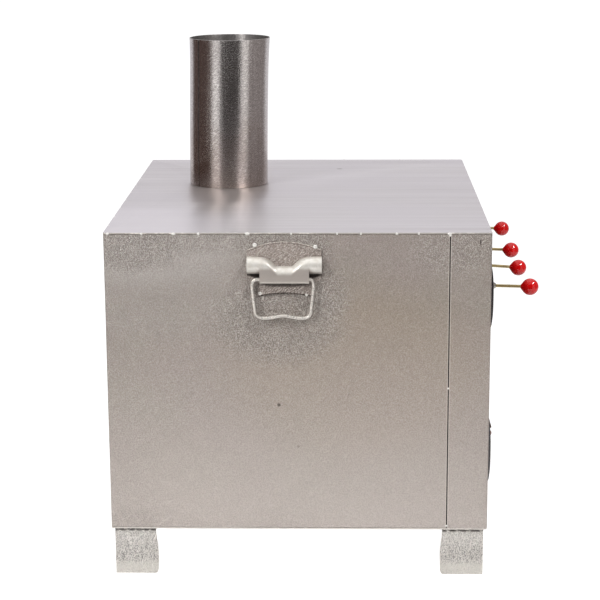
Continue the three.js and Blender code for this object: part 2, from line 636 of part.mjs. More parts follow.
// A slotted plate on four feet, standing on the charcoal tray's floor
function charcoalGrate() {
  const floor = -CHARCOAL_TRAY_HEIGHT / 2 + TRAY_SHEET + FIT;
  const low = floor + GRATE_FOOT_HEIGHT;
  const halfWidth = TRAY_HALF_WIDTH - TRAY_SHEET - GRATE_SIDE_SPACE;
  const halfLength = TRAY_MIDDLE_Y - TRAY_FRONT_Y - TRAY_SHEET - GRATE_END_SPACE;
  const plate = block(-halfWidth, halfWidth, TRAY_MIDDLE_Y - halfLength, TRAY_MIDDLE_Y + halfLength,
    low, low + GRATE_THICKNESS);
  const slots = [];
  const slotHalfLength = halfLength - GRATE_MARGIN;
  const count = Math.floor(2 * (halfWidth - GRATE_MARGIN) / GRATE_SLOT_PITCH);
  for (let i = 0; i < count; i += 1) {
    const x = (i - (count - 1) / 2) * GRATE_SLOT_PITCH;
    slots.push(block(x - GRATE_SLOT_WIDTH / 2, x + GRATE_SLOT_WIDTH / 2,
      TRAY_MIDDLE_Y - slotHalfLength, TRAY_MIDDLE_Y + slotHalfLength, low - CUT,
      low + GRATE_THICKNESS + CUT));
  }
  const feet = [];
  for (const x of [-halfWidth + GRATE_FOOT_RADIUS, halfWidth - GRATE_FOOT_RADIUS]) {
    for (const y of [-halfLength + GRATE_FOOT_RADIUS, halfLength - GRATE_FOOT_RADIUS]) {
      feet.push(postAlongZ(GRATE_FOOT_RADIUS, x, TRAY_MIDDLE_Y + y, floor,
        low + GRATE_THICKNESS / 2, WIRE_FACETS));
    }
  }
  return join(cut(plate, ...slots), ...feet);
}

// A folded lip along the front, low enough to stay behind the cabinet's corner
function charcoalPull() {
  const back = FRONT_FACE_Y - FIT;
  const low = -PULL_HEIGHT / 2;
  const web = block(-PULL_WIDTH / 2, PULL_WIDTH / 2, back - PULL_SHEET, back, low, -low);
  const lip = block(-PULL_WIDTH / 2, PULL_WIDTH / 2, back - PULL_REACH, back - PULL_SHEET / 2,
    -low - PULL_SHEET, -low);
  return join(web, lip);
}

function charcoalDrawer(side) {
  return groupOf([
    piece(`charcoal_tray_${side}`, tray(CHARCOAL_TRAY_HEIGHT, []), PLAIN_SHEET),
    piece(`charcoal_front_${side}`, frontPlate(CHARCOAL_FRONT_HEIGHT, []), BLACK_ENAMEL),
    piece(`charcoal_grate_${side}`, charcoalGrate(), FIRE_IRON),
    piece(`charcoal_pull_${side}`, charcoalPull(), FIRE_IRON),
  ], side === 'left' ? -DRAWER_X : DRAWER_X, 0, CHARCOAL_Z);
}

// Side handle, drawn with +x out of the wall, y along it and z = 0 at the cabinet's top edge
function handlePlate() {
  const shape = new THREE.Shape();
  shape.moveTo(-PLATE_HALF_WIDTH, -PLATE_SHOULDER_DROP);
  shape.lineTo(-PLATE_HALF_WIDTH, -PLATE_SIDE_DROP);
  shape.lineTo(-PLATE_TAIL_HALF_WIDTH, -PLATE_SIDE_DROP - PLATE_NOTCH);
  shape.lineTo(-PLATE_TAIL_HALF_WIDTH, -PLATE_TAIL_DROP);
  shape.quadraticCurveTo(0, -PLATE_TAIL_DROP + 2 * PLATE_TAIL_RISE, PLATE_TAIL_HALF_WIDTH,
    -PLATE_TAIL_DROP);
  shape.lineTo(PLATE_TAIL_HALF_WIDTH, -PLATE_SIDE_DROP - PLATE_NOTCH);
  shape.lineTo(PLATE_HALF_WIDTH, -PLATE_SIDE_DROP);
  shape.lineTo(PLATE_HALF_WIDTH, -PLATE_SHOULDER_DROP);
  shape.quadraticCurveTo(0, -2 * PLATE_TOP_DROP + PLATE_SHOULDER_DROP, -PLATE_HALF_WIDTH,
    -PLATE_SHOULDER_DROP);
  const options = { depth: PLATE_SHEET, bevelEnabled: false, curveSegments: 2 * BEND_FACETS };
  const plate = new THREE.ExtrudeGeometry(shape, options);
  const spots = [];
  for (const [offset, drop] of [[SPOT_TOP_OFFSET, SPOT_TOP_DROP], [SPOT_TAIL_OFFSET, SPOT_TAIL_DROP]]) {
    for (const y of [-offset, offset]) {
      spots.push(postAlongZ(SPOT_RADIUS, y, -drop, PLATE_SHEET / 2, PLATE_SHEET + SPOT_HEIGHT,
        WIRE_FACETS));
    }
  }
  return join(plate, ...spots).rotateX(Math.PI / 2).rotateZ(Math.PI / 2).translate(FIT, 0, 0);
}

// How far the bracket's top edge and crest dip at shares of its half width
const DIP_SHARES = [
  [1, 0, 0],
  [0.74, 0, 0],
  [0.58, 0.07, 0],
  [0.47, 0.22, 0.06],
  [0.4, 0.36, 0.25],
  [0.32, 0.58, 0.7],
  [0.25, 0.9, 0.96],
  [0.18, 1, 1],
];

function dipAt(y) {
  const share = Math.abs(y) / BRACKET_HALF_WIDTH;
  const next = DIP_SHARES.findIndex(([place]) => place <= share);
  if (next < 0) {
    return { top: BARREL_DIP_TOP, crest: BARREL_DIP_CREST };
  }
  const [place0, top0, crest0] = DIP_SHARES[Math.max(next - 1, 0)];
  const [place1, top1, crest1] = DIP_SHARES[next];
  const mix = place0 === place1 ? 0 : (place0 - share) / (place0 - place1);
  return {
    top: BARREL_DIP_TOP * (top0 + (top1 - top0) * mix),
    crest: BARREL_DIP_CREST * (crest0 + (crest1 - crest0) * mix),
  };
}

const BRACKET_WALL_X = FIT + PLATE_SHEET + FIT;

// The hood's line from the wall to its crest, as a quarter ellipse
function hoodLine(y) {
  const dip = dipAt(y);
  const crest = -BARREL_DROP - dip.crest;
  const rise = -BARREL_DROP + BARREL_RISE - dip.top - crest;
  const reach = BRACKET_REACH - BRACKET_WALL_X;
  const line = [];
  for (let i = 0; i <= BEND_FACETS; i += 1) {
    const angle = Math.PI / 2 * i / BEND_FACETS;
    line.push([BRACKET_WALL_X + reach * Math.sin(angle), crest + rise * Math.cos(angle)]);
  }
  return line;
}

// The middle of the bracket: hood, flat tongue and the lip under the bail's ends
function tongueLine(y) {
  const lip = -BAIL_PIVOT_DROP - BAIL_WIRE / 2 - FIT - BRACKET_SHEET;
  const line = hoodLine(y);
  for (let i = 0; i <= CORNER_FACETS; i += 1) {
    const angle = Math.PI / 2 * i / CORNER_FACETS;
    line.push([BRACKET_REACH - TONGUE_LIP_RADIUS * (1 - Math.cos(angle)),
      lip + TONGUE_LIP_RADIUS * (1 - Math.sin(angle))]);
  }
  line.push([BRACKET_REACH - TONGUE_LIP_RADIUS - TONGUE_LIP_RUN, lip]);
  return line;
}

// The barrel at each end: the hood's line carried round and back to the wall
function barrelLine(y) {
  const line = hoodLine(y);
  const reach = BRACKET_REACH - BRACKET_WALL_X;
  for (let i = 1; i <= BEND_FACETS; i += 1) {
    const angle = Math.PI / 2 * i / BEND_FACETS;
    line.push([BRACKET_WALL_X + reach * Math.cos(angle), -BARREL_DROP - BARREL_RISE * Math.sin(angle)]);
  }
  return line;
}

function handleBracket() {
  const sided = DIP_SHARES.map(([share]) => share * BRACKET_HALF_WIDTH)
    .filter((y) => y < TONGUE_HALF_WIDTH);
  const ys = [TONGUE_HALF_WIDTH, ...sided];
  const middle = [...ys.map((y) => -y), ...ys.toReversed()];
  const barrel = (y0, y1) => bentSheet([y0, y1].map((y) => ({ y, line: barrelLine(y) })),
    BRACKET_SHEET);
  const tongue = bentSheet(middle.map((y) => ({ y, line: tongueLine(y) })), BRACKET_SHEET);
  const inner = TONGUE_HALF_WIDTH - BRACKET_SHEET;
  return join(tongue, barrel(-BRACKET_HALF_WIDTH, -inner), barrel(inner, BRACKET_HALF_WIDTH));
}

// The bail's wire as one path in its own plane, from one inner end round to the other
function bailPath() {
  const at = (y, z) => new THREE.Vector3(0, y, z);
  const half = (sign) => [
    new THREE.LineCurve3(at(sign * BAIL_INNER_END, 0), at(sign * BAIL_TURN_START, 0)),
    new THREE.QuadraticBezierCurve3(at(sign * BAIL_TURN_START, 0), at(sign * BAIL_TOP_HALF_WIDTH, 0),
      at(sign * BAIL_TOP_HALF_WIDTH, -BAIL_TURN_DROP)),
    new THREE.LineCurve3(at(sign * BAIL_TOP_HALF_WIDTH, -BAIL_TURN_DROP),
      at(sign * BAIL_FOOT_HALF_WIDTH, -BAIL_FOOT_DROP)),
    new THREE.QuadraticBezierCurve3(at(sign * BAIL_FOOT_HALF_WIDTH, -BAIL_FOOT_DROP),
      at(sign * BAIL_FOOT_HALF_WIDTH, -BAIL_BAR_DROP), at(sign * BAIL_BAR_HALF_WIDTH, -BAIL_BAR_DROP)),
    new THREE.CubicBezierCurve3(at(sign * BAIL_BAR_HALF_WIDTH, -BAIL_BAR_DROP),
      at(sign * BAIL_BAR_HALF_WIDTH / 2, -BAIL_BAR_DROP),
      at(sign * BAIL_BAR_HALF_WIDTH / 3, -BAIL_BAR_DROP + BAIL_BAR_BUMP),
      at(0, -BAIL_BAR_DROP + BAIL_BAR_BUMP)),
  ];
  const path = new THREE.CurvePath();
  for (const curve of half(-1)) {
    path.add(curve);
  }
  for (const curve of half(1).toReversed()) {
    path.add(reversedCurve(curve));
  }
  return path;
}

// The same curve run the other way
function reversedCurve(curve) {
  if (curve.isLineCurve3) {
    return new THREE.LineCurve3(curve.v2, curve.v1);
  }
  if (curve.isQuadraticBezierCurve3) {
    return new THREE.QuadraticBezierCurve3(curve.v2, curve.v1, curve.v0);
  }
  return new THREE.CubicBezierCurve3(curve.v3, curve.v2, curve.v1, curve.v0);
}

function bailWire() {
  const section = new THREE.Shape();
  for (let i = 0; i < WIRE_FACETS; i += 1) {
    const angle = 2 * Math.PI * (i + 0.5) / WIRE_FACETS;
    const x = BAIL_WIRE / 2 * Math.cos(angle);
    const y = BAIL_WIRE / 2 * Math.sin(angle);
    if (i === 0) {
      section.moveTo(x, y);
    } else {
      section.lineTo(x, y);
    }
  }
  const steps = 10 * BEND_FACETS;
  return new THREE.ExtrudeGeometry(section, { steps, bevelEnabled: false, extrudePath: bailPath() });
}

function sideHandle(side) {
  const bail = piece(`handle_bail_${side}`, bailWire(), HANDLE_SILVER);
  bail.position.set(BAIL_PIVOT_REACH, side === 'left' ? -BAIL_SHIFT : BAIL_SHIFT, -BAIL_PIVOT_DROP);
  const group = groupOf([
    piece(`handle_plate_${side}`, handlePlate(), HAMMERTONE),
    piece(`handle_bracket_${side}`, handleBracket(), HANDLE_SILVER),
    bail,
  ], side === 'left' ? -HALF_WIDTH : HALF_WIDTH, HANDLE_Y, BODY_HEIGHT);
  group.rotation.z = side === 'left' ? Math.PI : 0;
  return group;
}

function runnersAndSpreaders() {
  const outerEdge = DRAWER_X + TRAY_HALF_WIDTH;
  const innerEdge = DRAWER_X - TRAY_HALF_WIDTH;
  const pieces = [];
  for (const [side, sign] of [['left', -1], ['right', 1]]) {
    for (const [row, trayLow] of [['roast', ROAST_TRAY_LOW], ['charcoal', CHARCOAL_TRAY_LOW]]) {
      const outer = runner(sign * CHAMBER_X, sign * outerEdge, -sign, trayLow);
      const inner = runner(sign * DIVIDER_FACE_X, sign * innerEdge, sign, trayLow);
      pieces.push(piece(`${row}_runner_${side}_outer`, outer, PLAIN_SHEET));
      pieces.push(piece(`${row}_runner_${side}_inner`, inner, PLAIN_SHEET));
    }
    const spreader = piece(`flame_spreader_${side}`, flameSpreader(), FIRE_IRON);
    spreader.position.x = sign * (CHAMBER_X + DIVIDER_FACE_X) / 2;
    pieces.push(spreader);
  }
  return pieces;
}

const cabinet = groupOf([
  piece('outer_wrap', outerWrap(), HAMMERTONE),
  piece('front_panel', frontPanel(), HAMMERTONE),
  piece('top_panel', topPanel(), SATIN_STEEL),
  piece('bottom_panel', slab(footprint(), 0, SHEET), HAMMERTONE),
  piece('chamber_liner', chamberLiner(), PLAIN_SHEET),
  piece('centre_divider', centreDivider(), PLAIN_SHEET),
  ...runnersAndSpreaders(),
  ...insulationSlabs(),
  piece('flue_collar', flueCollar(), PLAIN_SHEET),
  piece('chimney_pipe', chimneyPipe(), PIPE_STEEL),
  sideHandle('left'),
  sideHandle('right'),
  roastDrawer('left'),
  roastDrawer('right'),
  charcoalDrawer('left'),
  charcoalDrawer('right'),
], 0, 0, LEG_STAND);

const roaster = groupOf([cabinet, ...legs()], 0, FRAME_SHIFT, 0);

export default roaster;
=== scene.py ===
# Looks of a table-top sweet potato roaster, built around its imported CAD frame.
# Shapes are drawn in millimetres about the cabinet: x across it, y along its depth with the drawers
# at -y, and z up from its underside. add_piece brings them into the frame, which is in metres.

import math

import bmesh
import bpy
from mathutils import Matrix, Vector, noise


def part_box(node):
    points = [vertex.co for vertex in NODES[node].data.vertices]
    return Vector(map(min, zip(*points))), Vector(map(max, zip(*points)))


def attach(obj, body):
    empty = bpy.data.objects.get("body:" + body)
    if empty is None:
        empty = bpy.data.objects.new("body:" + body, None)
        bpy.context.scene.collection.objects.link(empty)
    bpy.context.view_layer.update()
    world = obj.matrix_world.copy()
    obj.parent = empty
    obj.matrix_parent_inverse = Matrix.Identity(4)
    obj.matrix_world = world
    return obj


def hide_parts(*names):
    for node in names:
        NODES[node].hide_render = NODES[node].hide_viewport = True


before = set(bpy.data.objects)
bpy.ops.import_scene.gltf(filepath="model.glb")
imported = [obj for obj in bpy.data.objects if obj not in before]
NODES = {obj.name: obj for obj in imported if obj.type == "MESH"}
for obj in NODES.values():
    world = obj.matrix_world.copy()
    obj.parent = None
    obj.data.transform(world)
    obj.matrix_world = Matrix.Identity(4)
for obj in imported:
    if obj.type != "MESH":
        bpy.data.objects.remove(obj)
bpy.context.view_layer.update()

MM = 0.001
UNDERSIDE_LOW, UNDERSIDE_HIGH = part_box("bottom_panel")
CABINET_MIDDLE = Vector((0, (UNDERSIDE_LOW.y + UNDERSIDE_HIGH.y) / 2, UNDERSIDE_LOW.z))
TO_FRAME = Matrix.Translation(CABINET_MIDDLE) @ Matrix.Scale(MM, 4)
SIDES = (("left", -1), ("right", 1))


def span(node):
    """A CAD node's lowest and highest corners, in cabinet millimetres."""
    low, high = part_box(node)
    return TO_FRAME.inverted() @ low, TO_FRAME.inverted() @ high


def in_frame(x, y, z):
    """A point in cabinet millimetres, in the frame's metres."""
    return TO_FRAME @ Vector((x, y, z))


def level_at(z):
    """A height over the cabinet's underside, in the frame's metres."""
    return in_frame(0, 0, z).z


WRAP_LOW, WRAP_HIGH = span("outer_wrap")
PAN_LOW, PAN_HIGH = span("front_panel")
TOP_LOW, TOP_HIGH = span("top_panel")
PIPE_LOW, PIPE_HIGH = span("chimney_pipe")
PIPE_X = (PIPE_LOW.x + PIPE_HIGH.x) / 2
PIPE_Y = (PIPE_LOW.y + PIPE_HIGH.y) / 2
SEAM_Y = (WRAP_LOW.y + PAN_HIGH.y) / 2
HANDLE_Y = 14.5


# ---------- Camera ----------

CAMERA_PLACE = (-2.2813, -0.0230, 0.7949)
CAMERA_YAW = 1.453
CAMERA_PITCH = 12.990
CAMERA_ROLL = -0.291
CAMERA_LENS = 108.68
SENSOR = 36


def place_camera():
    data = bpy.data.cameras.new("camera")
    data.lens = CAMERA_LENS
    data.sensor_width = SENSOR
    camera = bpy.data.objects.new("camera", data)
    yaw = math.radians(CAMERA_YAW)
    pitch = math.radians(CAMERA_PITCH)
    forward = Vector((math.cos(yaw) * math.cos(pitch), math.sin(yaw) * math.cos(pitch), -math.sin(pitch)))
    aim = forward.to_track_quat("-Z", "Y").to_matrix().to_4x4()
    roll = Matrix.Rotation(math.radians(CAMERA_ROLL), 4, "Z")
    camera.matrix_world = Matrix.Translation(CAMERA_PLACE) @ aim @ roll
    bpy.context.scene.collection.objects.link(camera)
    bpy.context.scene.camera = camera


# ---------- Node helpers ----------

def feed(tree, socket, value):
    """Links a socket to another node's output, or sets its plain value."""
    if isinstance(value, bpy.types.NodeSocket):
        tree.links.new(value, socket)
    else:
        socket.default_value = value


def add_node(tree, kind, options=None, **inputs):
    """Adds a shader node. Inputs go by name, with _ for a space."""
    made = tree.nodes.new("ShaderNode" + kind)
    for option, value in (options or {}).items():
        setattr(made, option, value)
    for name, value in inputs.items():
        feed(tree, made.inputs[name.replace("_", " ")], value)
    return made


def maths(tree, operation, *values, clamp=False):
    made = add_node(tree, "Math", {"operation": operation, "use_clamp": clamp})
    for socket, value in zip(made.inputs, values):
        feed(tree, socket, value)
    return made.outputs["Value"]


def total(tree, first, second, clamp=False):
    return maths(tree, "ADD", first, second, clamp=clamp)


def less(tree, first, second):
    return maths(tree, "SUBTRACT", first, second)


def product(tree, first, second):
    return maths(tree, "MULTIPLY", first, second)


def vectors(tree, operation, *values):
    made = add_node(tree, "VectorMath", {"operation": operation})
    for socket, value in zip(made.inputs, values):
        feed(tree, socket, value)
    return made.outputs["Value" if operation in ("LENGTH", "DOT_PRODUCT", "DISTANCE") else "Vector"]


def scaled(tree, vector, amount):
    made = add_node(tree, "VectorMath", {"operation": "SCALE"}, Scale=amount)
    feed(tree, made.inputs[0], vector)
    return made.outputs["Vector"]


def axis_of(tree, vector, axis):
    """One coordinate of a vector: X, Y or Z."""
    return add_node(tree, "SeparateXYZ", None, Vector=vector).outputs[axis]


def face_normal(tree):
    return add_node(tree, "NewGeometry").outputs["Normal"]


def remap(tree, value, low, high, to_low=0.0, to_high=1.0, smooth=True):
    kind = "SMOOTHSTEP" if smooth else "LINEAR"
    made = add_node(tree, "MapRange", {"interpolation_type": kind}, Value=value, From_Min=low,
                    From_Max=high, To_Min=to_low, To_Max=to_high)
    return made.outputs["Result"]


def colour(red, green, blue):
    """A colour written in 0-255 screen values, as the linear one that a socket takes."""
    def linear(value):
        share = value / 255
        return share / 12.92 if share <= 0.04045 else ((share + 0.055) / 1.055) ** 2.4
    return (linear(red), linear(green), linear(blue), 1)


def tint(tree, factor, first, second):
    """Mixes two colours, each a node's output or a screen colour."""
    made = add_node(tree, "Mix", {"data_type": "RGBA"}, Factor=factor)
    for socket, value in ((made.inputs[6], first), (made.inputs[7], second)):
        feed(tree, socket, value if isinstance(value, bpy.types.NodeSocket) else colour(*value))
    return made.outputs[2]


def glaze(tree, base, mask, amount, shade):
    """Lays a colour over a base, by a mask times an amount."""
    return tint(tree, product(tree, mask, amount), base, shade)


def speckle(tree, point, scale, detail=2.0, roughness=0.5):
    made = add_node(tree, "TexNoise", None, Vector=point, Scale=scale, Detail=detail,
                    Roughness=roughness)
    return made.outputs["Fac"]


def streaks(tree, point, pace, detail, roughness=0.5):
    """Noise that changes at its own pace along each axis."""
    return speckle(tree, vectors(tree, "MULTIPLY", point, pace), 1.0, detail, roughness)


def new_group(name, inputs, outputs):
    """A shader node group; sockets are (name, kind, value) with kind Float, Vector or Color."""
    tree = bpy.data.node_groups.new(name, "ShaderNodeTree")
    for label, kind, value in inputs:
        socket = tree.interface.new_socket(label, in_out="INPUT", socket_type="NodeSocket" + kind)
        if value is not None:
            socket.default_value = value
    for label, kind in outputs:
        tree.interface.new_socket(label, in_out="OUTPUT", socket_type="NodeSocket" + kind)
    return tree, tree.nodes.new("NodeGroupInput").outputs, tree.nodes.new("NodeGroupOutput").inputs


def use_group(tree, group, **inputs):
    made = tree.nodes.new("ShaderNodeGroup")
    made.node_tree = group
    for name, value in inputs.items():
        feed(tree, made.inputs[name.replace("_", " ")], value)
    return made.outputs


# ---------- Shared effects ----------

def soft_zone_group():
    """A mask that is 1 at a centre and fades out at a reach along each axis."""
    tree, given, made = new_group(
        "soft_zone",
        [("Point", "Vector", None), ("Centre", "Vector", None), ("Reach", "Vector", (1, 1, 1))],
        [("Mask", "Float")])
    away = vectors(tree, "SUBTRACT", given["Point"], given["Centre"])
    shares = vectors(tree, "DIVIDE", away, given["Reach"])
    feed(tree, made["Mask"], remap(tree, vectors(tree, "LENGTH", shares), 1.0, 0.45))
    return tree


def hammered_skin_group():
    """Sprayed hammertone paint: a fine grain that turns to coarse worm-like dents."""
    tree, given, made = new_group(
        "hammered_skin",
        [("Point", "Vector", None), ("Size", "Float", 300.0), ("Coarse", "Float", 0.5)],
        [("Height", "Float"), ("Shade", "Float")])
    bend = add_node(tree, "TexNoise", None, Vector=given["Point"], Scale=90.0, Detail=1.0)
    bent = vectors(tree, "ADD", given["Point"], scaled(tree, bend.outputs["Color"], 0.006))
    grain = speckle(tree, bent, product(tree, given["Size"], 1.6), 1.0)
    grain = less(tree, remap(tree, grain, 0.33, 0.67), 0.5)
    worms = speckle(tree, bent, given["Size"], 0.5, 0.4)
    ridge = maths(tree, "ABSOLUTE", less(tree, worms, 0.5))
    dents = less(tree, remap(tree, ridge, 0.0, 0.14), 0.6)
    grain = product(tree, grain, remap(tree, given["Coarse"], 0, 1, 0.5, 0.9))
    both = total(tree, grain, product(tree, dents, given["Coarse"]))
    feed(tree, made["Height"], both)
    feed(tree, made["Shade"], total(tree, both, 0.5, clamp=True))
    return tree


def worn_edges_group():
    """Where an outer edge has lost its finish."""
    tree, given, made = new_group(
        "worn_edges",
        [("Point", "Vector", None), ("Width", "Float", 0.001), ("Patches", "Float", 120.0)],
        [("Mask", "Float")])
    rounded = add_node(tree, "Bevel", {"samples": 4}, Radius=given["Width"]).outputs["Normal"]
    turn = less(tree, 1.0, vectors(tree, "DOT_PRODUCT", rounded, face_normal(tree)))
    edge = remap(tree, turn, 0.01, 0.12)
    patches = remap(tree, speckle(tree, given["Point"], given["Patches"], 3.0, 0.6), 0.35, 0.62)
    feed(tree, made["Mask"], product(tree, edge, patches))
    return tree


def brushed_lines_group():
    """Fine lines left by brushing or rolling; Grain is how fast they change along each axis."""
    tree, given, made = new_group(
        "brushed_lines",
        [("Point", "Vector", None), ("Grain", "Vector", (900, 9, 900))],
        [("Height", "Float"), ("Shade", "Float")])
    stretched = vectors(tree, "MULTIPLY", given["Point"], given["Grain"])
    lines = speckle(tree, stretched, 1.0, 3.0, 0.6)
    broad = streaks(tree, stretched, (0.12, 0.12, 0.12), 2.0)
    feed(tree, made["Height"], lines)
    mixed = total(tree, product(tree, lines, 0.5), product(tree, broad, 0.5))
    feed(tree, made["Shade"], remap(tree, mixed, 0.3, 0.7))
    return tree


def soot_film_group():
    """Soot and grease that thin out over a height, in blotches."""
    tree, given, made = new_group(
        "soot_film",
        [("Point", "Vector", None), ("Thick at", "Float", 0.0), ("Clean at", "Float", 1.0),
         ("Blotches", "Float", 25.0)],
        [("Mask", "Float")])
    height = axis_of(tree, given["Point"], "Z")
    rise = remap(tree, height, given["Thick at"], given["Clean at"], 1.0, 0.0, smooth=False)
    blotches = speckle(tree, given["Point"], given["Blotches"], 4.0, 0.6)
    mixed = total(tree, rise, less(tree, blotches, 0.5))
    feed(tree, made["Mask"], remap(tree, mixed, 0.25, 0.85))
    return tree


SOFT_ZONE = soft_zone_group()
HAMMERED_SKIN = hammered_skin_group()
WORN_EDGES = worn_edges_group()
BRUSHED_LINES = brushed_lines_group()
SOOT_FILM = soot_film_group()


def zone(tree, point, centre, reach):
    return use_group(tree, SOFT_ZONE, Point=point, Centre=centre, Reach=reach)["Mask"]


def worn_edges(tree, point, width, patches):
    return use_group(tree, WORN_EDGES, Point=point, Width=width, Patches=patches)["Mask"]


def soot_film(tree, point, thick_at, clean_at, blotches):
    return use_group(tree, SOOT_FILM, Point=point, Thick_at=thick_at, Clean_at=clean_at,
                     Blotches=blotches)["Mask"]


def new_finish(name, metallic=0.0, roughness=0.5):
    """A material with its Principled shader, and the object's own coordinates."""
    material = bpy.data.materials.new(name)
    material.use_nodes = True
    tree = material.node_tree
    shader = tree.nodes["Principled BSDF"]
    shader.inputs["Metallic"].default_value = metallic
    shader.inputs["Roughness"].default_value = roughness
    point = tree.nodes.new("ShaderNodeTexCoord").outputs["Object"]
    return material, tree, shader, point


def coat(tree, shader, base, roughness):
    """Gives a shader its colour and its roughness."""
    feed(tree, shader.inputs["Base Color"], base)
    feed(tree, shader.inputs["Roughness"], roughness)


def emboss(tree, shader, height, distance, under=None):
    """Sends a height to the shader's normal; distance is in metres."""
    bump = add_node(tree, "Bump", None, Height=height, Distance=distance)
    if under is not None:
        tree.links.new(under, bump.inputs["Normal"])
    tree.links.new(bump.outputs["Normal"], shader.inputs["Normal"])
    return bump.outputs["Normal"]


# ---------- Patches of a finish, in cabinet millimetres ----------

ENDLESS = 10.0


def side_patch(y, z, reach_y, reach_z):
    """Centre and reach of a patch on the cabinet's sides."""
    return in_frame(0, y, z), (ENDLESS, reach_y * MM, reach_z * MM)


def top_patch(x, y, reach_x, reach_y):
    """Centre and reach of a patch on the top sheet."""
    return in_frame(x, y, TOP_HIGH.z), (reach_x * MM, reach_y * MM, ENDLESS)


def patch_sum(tree, point, patches, kind=side_patch):
    """Adds up patches that are written as a centre, a reach and then how much each one counts."""
    summed = 0.0
    for *place, amount in patches:
        summed = total(tree, summed, product(tree, zone(tree, point, *kind(*place)), amount))
    return summed


def between_levels(tree, height, ends):
    """A mask that rises from 0 to 1 between two heights over the cabinet's underside."""
    return remap(tree, height, level_at(ends[0]), level_at(ends[1]))


# ---------- Hammertone paint ----------

CABINET_PALE = (156, 145, 138)
LEG_PALE = (203, 196, 190)
# How the paint's colour drifts from its pale one, in screen values
HUE_DRIFT = (-4, 1, -4)
BROAD_DRIFT = (-7, -8, -5)
WARM_DRIFT = (2, -3, -13)
# painted light: lighter towards the bottom, where the floor lights the sides
FLOOR_BOUNCE_DRIFT = (44, 45, 46)
# painted light: lighter on the upper back of the sides, where the lamp falls
TOP_LIGHT_DRIFT = (18, 22, 24)
COARSE_DRIFT = (20, 22, 22)
# painted highlight on the grain's crests and painted shade in its dents
CREST_GLINT = (250, 246, 240)
DENT_SHADE_DARK = (78, 68, 62)
WORN_PAINT = (232, 225, 216)

# Where the cabinet's paint is coarse (+) or smooth (-): y, z, reach along both, and how much
COARSE_PATCHES = (
    (186, 334, 66, 40, 0.5),
    (110, 344, 90, 18, 0.3),
    (14, 338, 66, 30, 0.75),
    (22, 252, 96, 66, 0.65),
    (-30, 285, 40, 40, 0.4),
    (-176, 336, 60, 40, 0.35),
    (205, 8, 66, 22, 0.15),
    (150, 292, 90, 26, -0.25),
    (-90, 60, 160, 90, -0.2),
    (90, 70, 110, 80, -0.2),
)
# Painted light on the upper back of the sides: y, z, reach along both, and how much
TOP_LIGHT_PATCHES = ((170, 352, 200, 75, 1.0), (165, 285, 150, 75, 0.5))
WARM_PATCH = (-70, 190, 200, 140)
# Heights over which the painted floor light comes in, from none to full
FLOOR_BOUNCE_FROM = 262
FLOOR_BOUNCE_TO = -5


def drifted(pale, drift):
    return tuple(value + change for value, change in zip(pale, drift))


def hammertone_base(tree, point, height, pale, coarse, shade, contrast):
    """The beige-grey paint itself: its drifts of colour, its grain and its worn edges, with painted light
    from the floor and from above, painted highlights on the grain's crests and painted shade in its dents.
    """
    hue = speckle(tree, vectors(tree, "ADD", point, (3.1, 1.7, 0.4)), 8.0, 3.0, 0.6)
    base = tint(tree, remap(tree, hue, 0.35, 0.65), pale, drifted(pale, HUE_DRIFT))
    broad = speckle(tree, point, 4.0, 3.0, 0.55)
    base = tint(tree, remap(tree, broad, 0.3, 0.7, 0.0, 0.5), base, drifted(pale, BROAD_DRIFT))
    warm = zone(tree, point, *side_patch(*WARM_PATCH))
    base = glaze(tree, base, warm, 0.7, drifted(pale, WARM_DRIFT))
    # Painted light: lighter towards the bottom, as the floor lights it; the legs, lower down, get all of it
    floor_bounce = remap(tree, height, level_at(FLOOR_BOUNCE_FROM), level_at(FLOOR_BOUNCE_TO), smooth=False)
    base = tint(tree, floor_bounce, base, drifted(pale, FLOOR_BOUNCE_DRIFT))
    # Painted light: lighter on the upper back of the sides
    top_light = patch_sum(tree, point, TOP_LIGHT_PATCHES)
    base = glaze(tree, base, top_light, 0.8, drifted(pale, TOP_LIGHT_DRIFT))
    base = glaze(tree, base, coarse, 0.8, drifted(pale, COARSE_DRIFT))
    contrast = product(tree, contrast, remap(tree, coarse, 0, 1, 0.8, 1.35))
    # Painted highlight on the crests of the relief and painted shade in its dents
    crest = product(tree, remap(tree, shade, 0.5, 1.0, smooth=False), product(tree, contrast, 0.9))
    dent_shade = product(tree, remap(tree, shade, 0.5, 0.0, smooth=False), product(tree, contrast, 1.3))
    base = tint(tree, crest, base, CREST_GLINT)
    base = tint(tree, dent_shade, base, DENT_SHADE_DARK)
    return glaze(tree, base, worn_edges(tree, point, 1.4 * MM, 260.0), 0.55, WORN_PAINT)


def hammertone_coat(tree, shader, base, skin):
    coat(tree, shader, base, remap(tree, skin["Shade"], 0, 1, 0.54, 0.4))
    emboss(tree, shader, skin["Height"], 0.0008)


# Half widths of the painted highlight beside the seam and of the painted shade in its gap, where each
# starts and is full
SEAM_GLINT = (2.2, 1.0)
SEAM_GAP_SHADE = (0.9, 0.55)
LID_SHADOW = (349.9, 350.6)
# Heights where the painted light along the bottom edge starts and is full
HEM_LIGHT_BAND = (2.4, 0.9)
GLINT_PALE = (238, 230, 220)
GAP_SHADE_DARK = (66, 54, 46)
HEM_LIGHT_PALE = (234, 228, 221)
SPECK_DARK = (60, 48, 44)
# Small dark specks and a short scratch: y, z, reach along both, and how much
PAINT_SPECKS = ((22, 151, 2.6, 2.6, 0.75), (0, 101, 2, 2, 0.35), (-206.8, 342, 1.0, 4.8, 0.95))


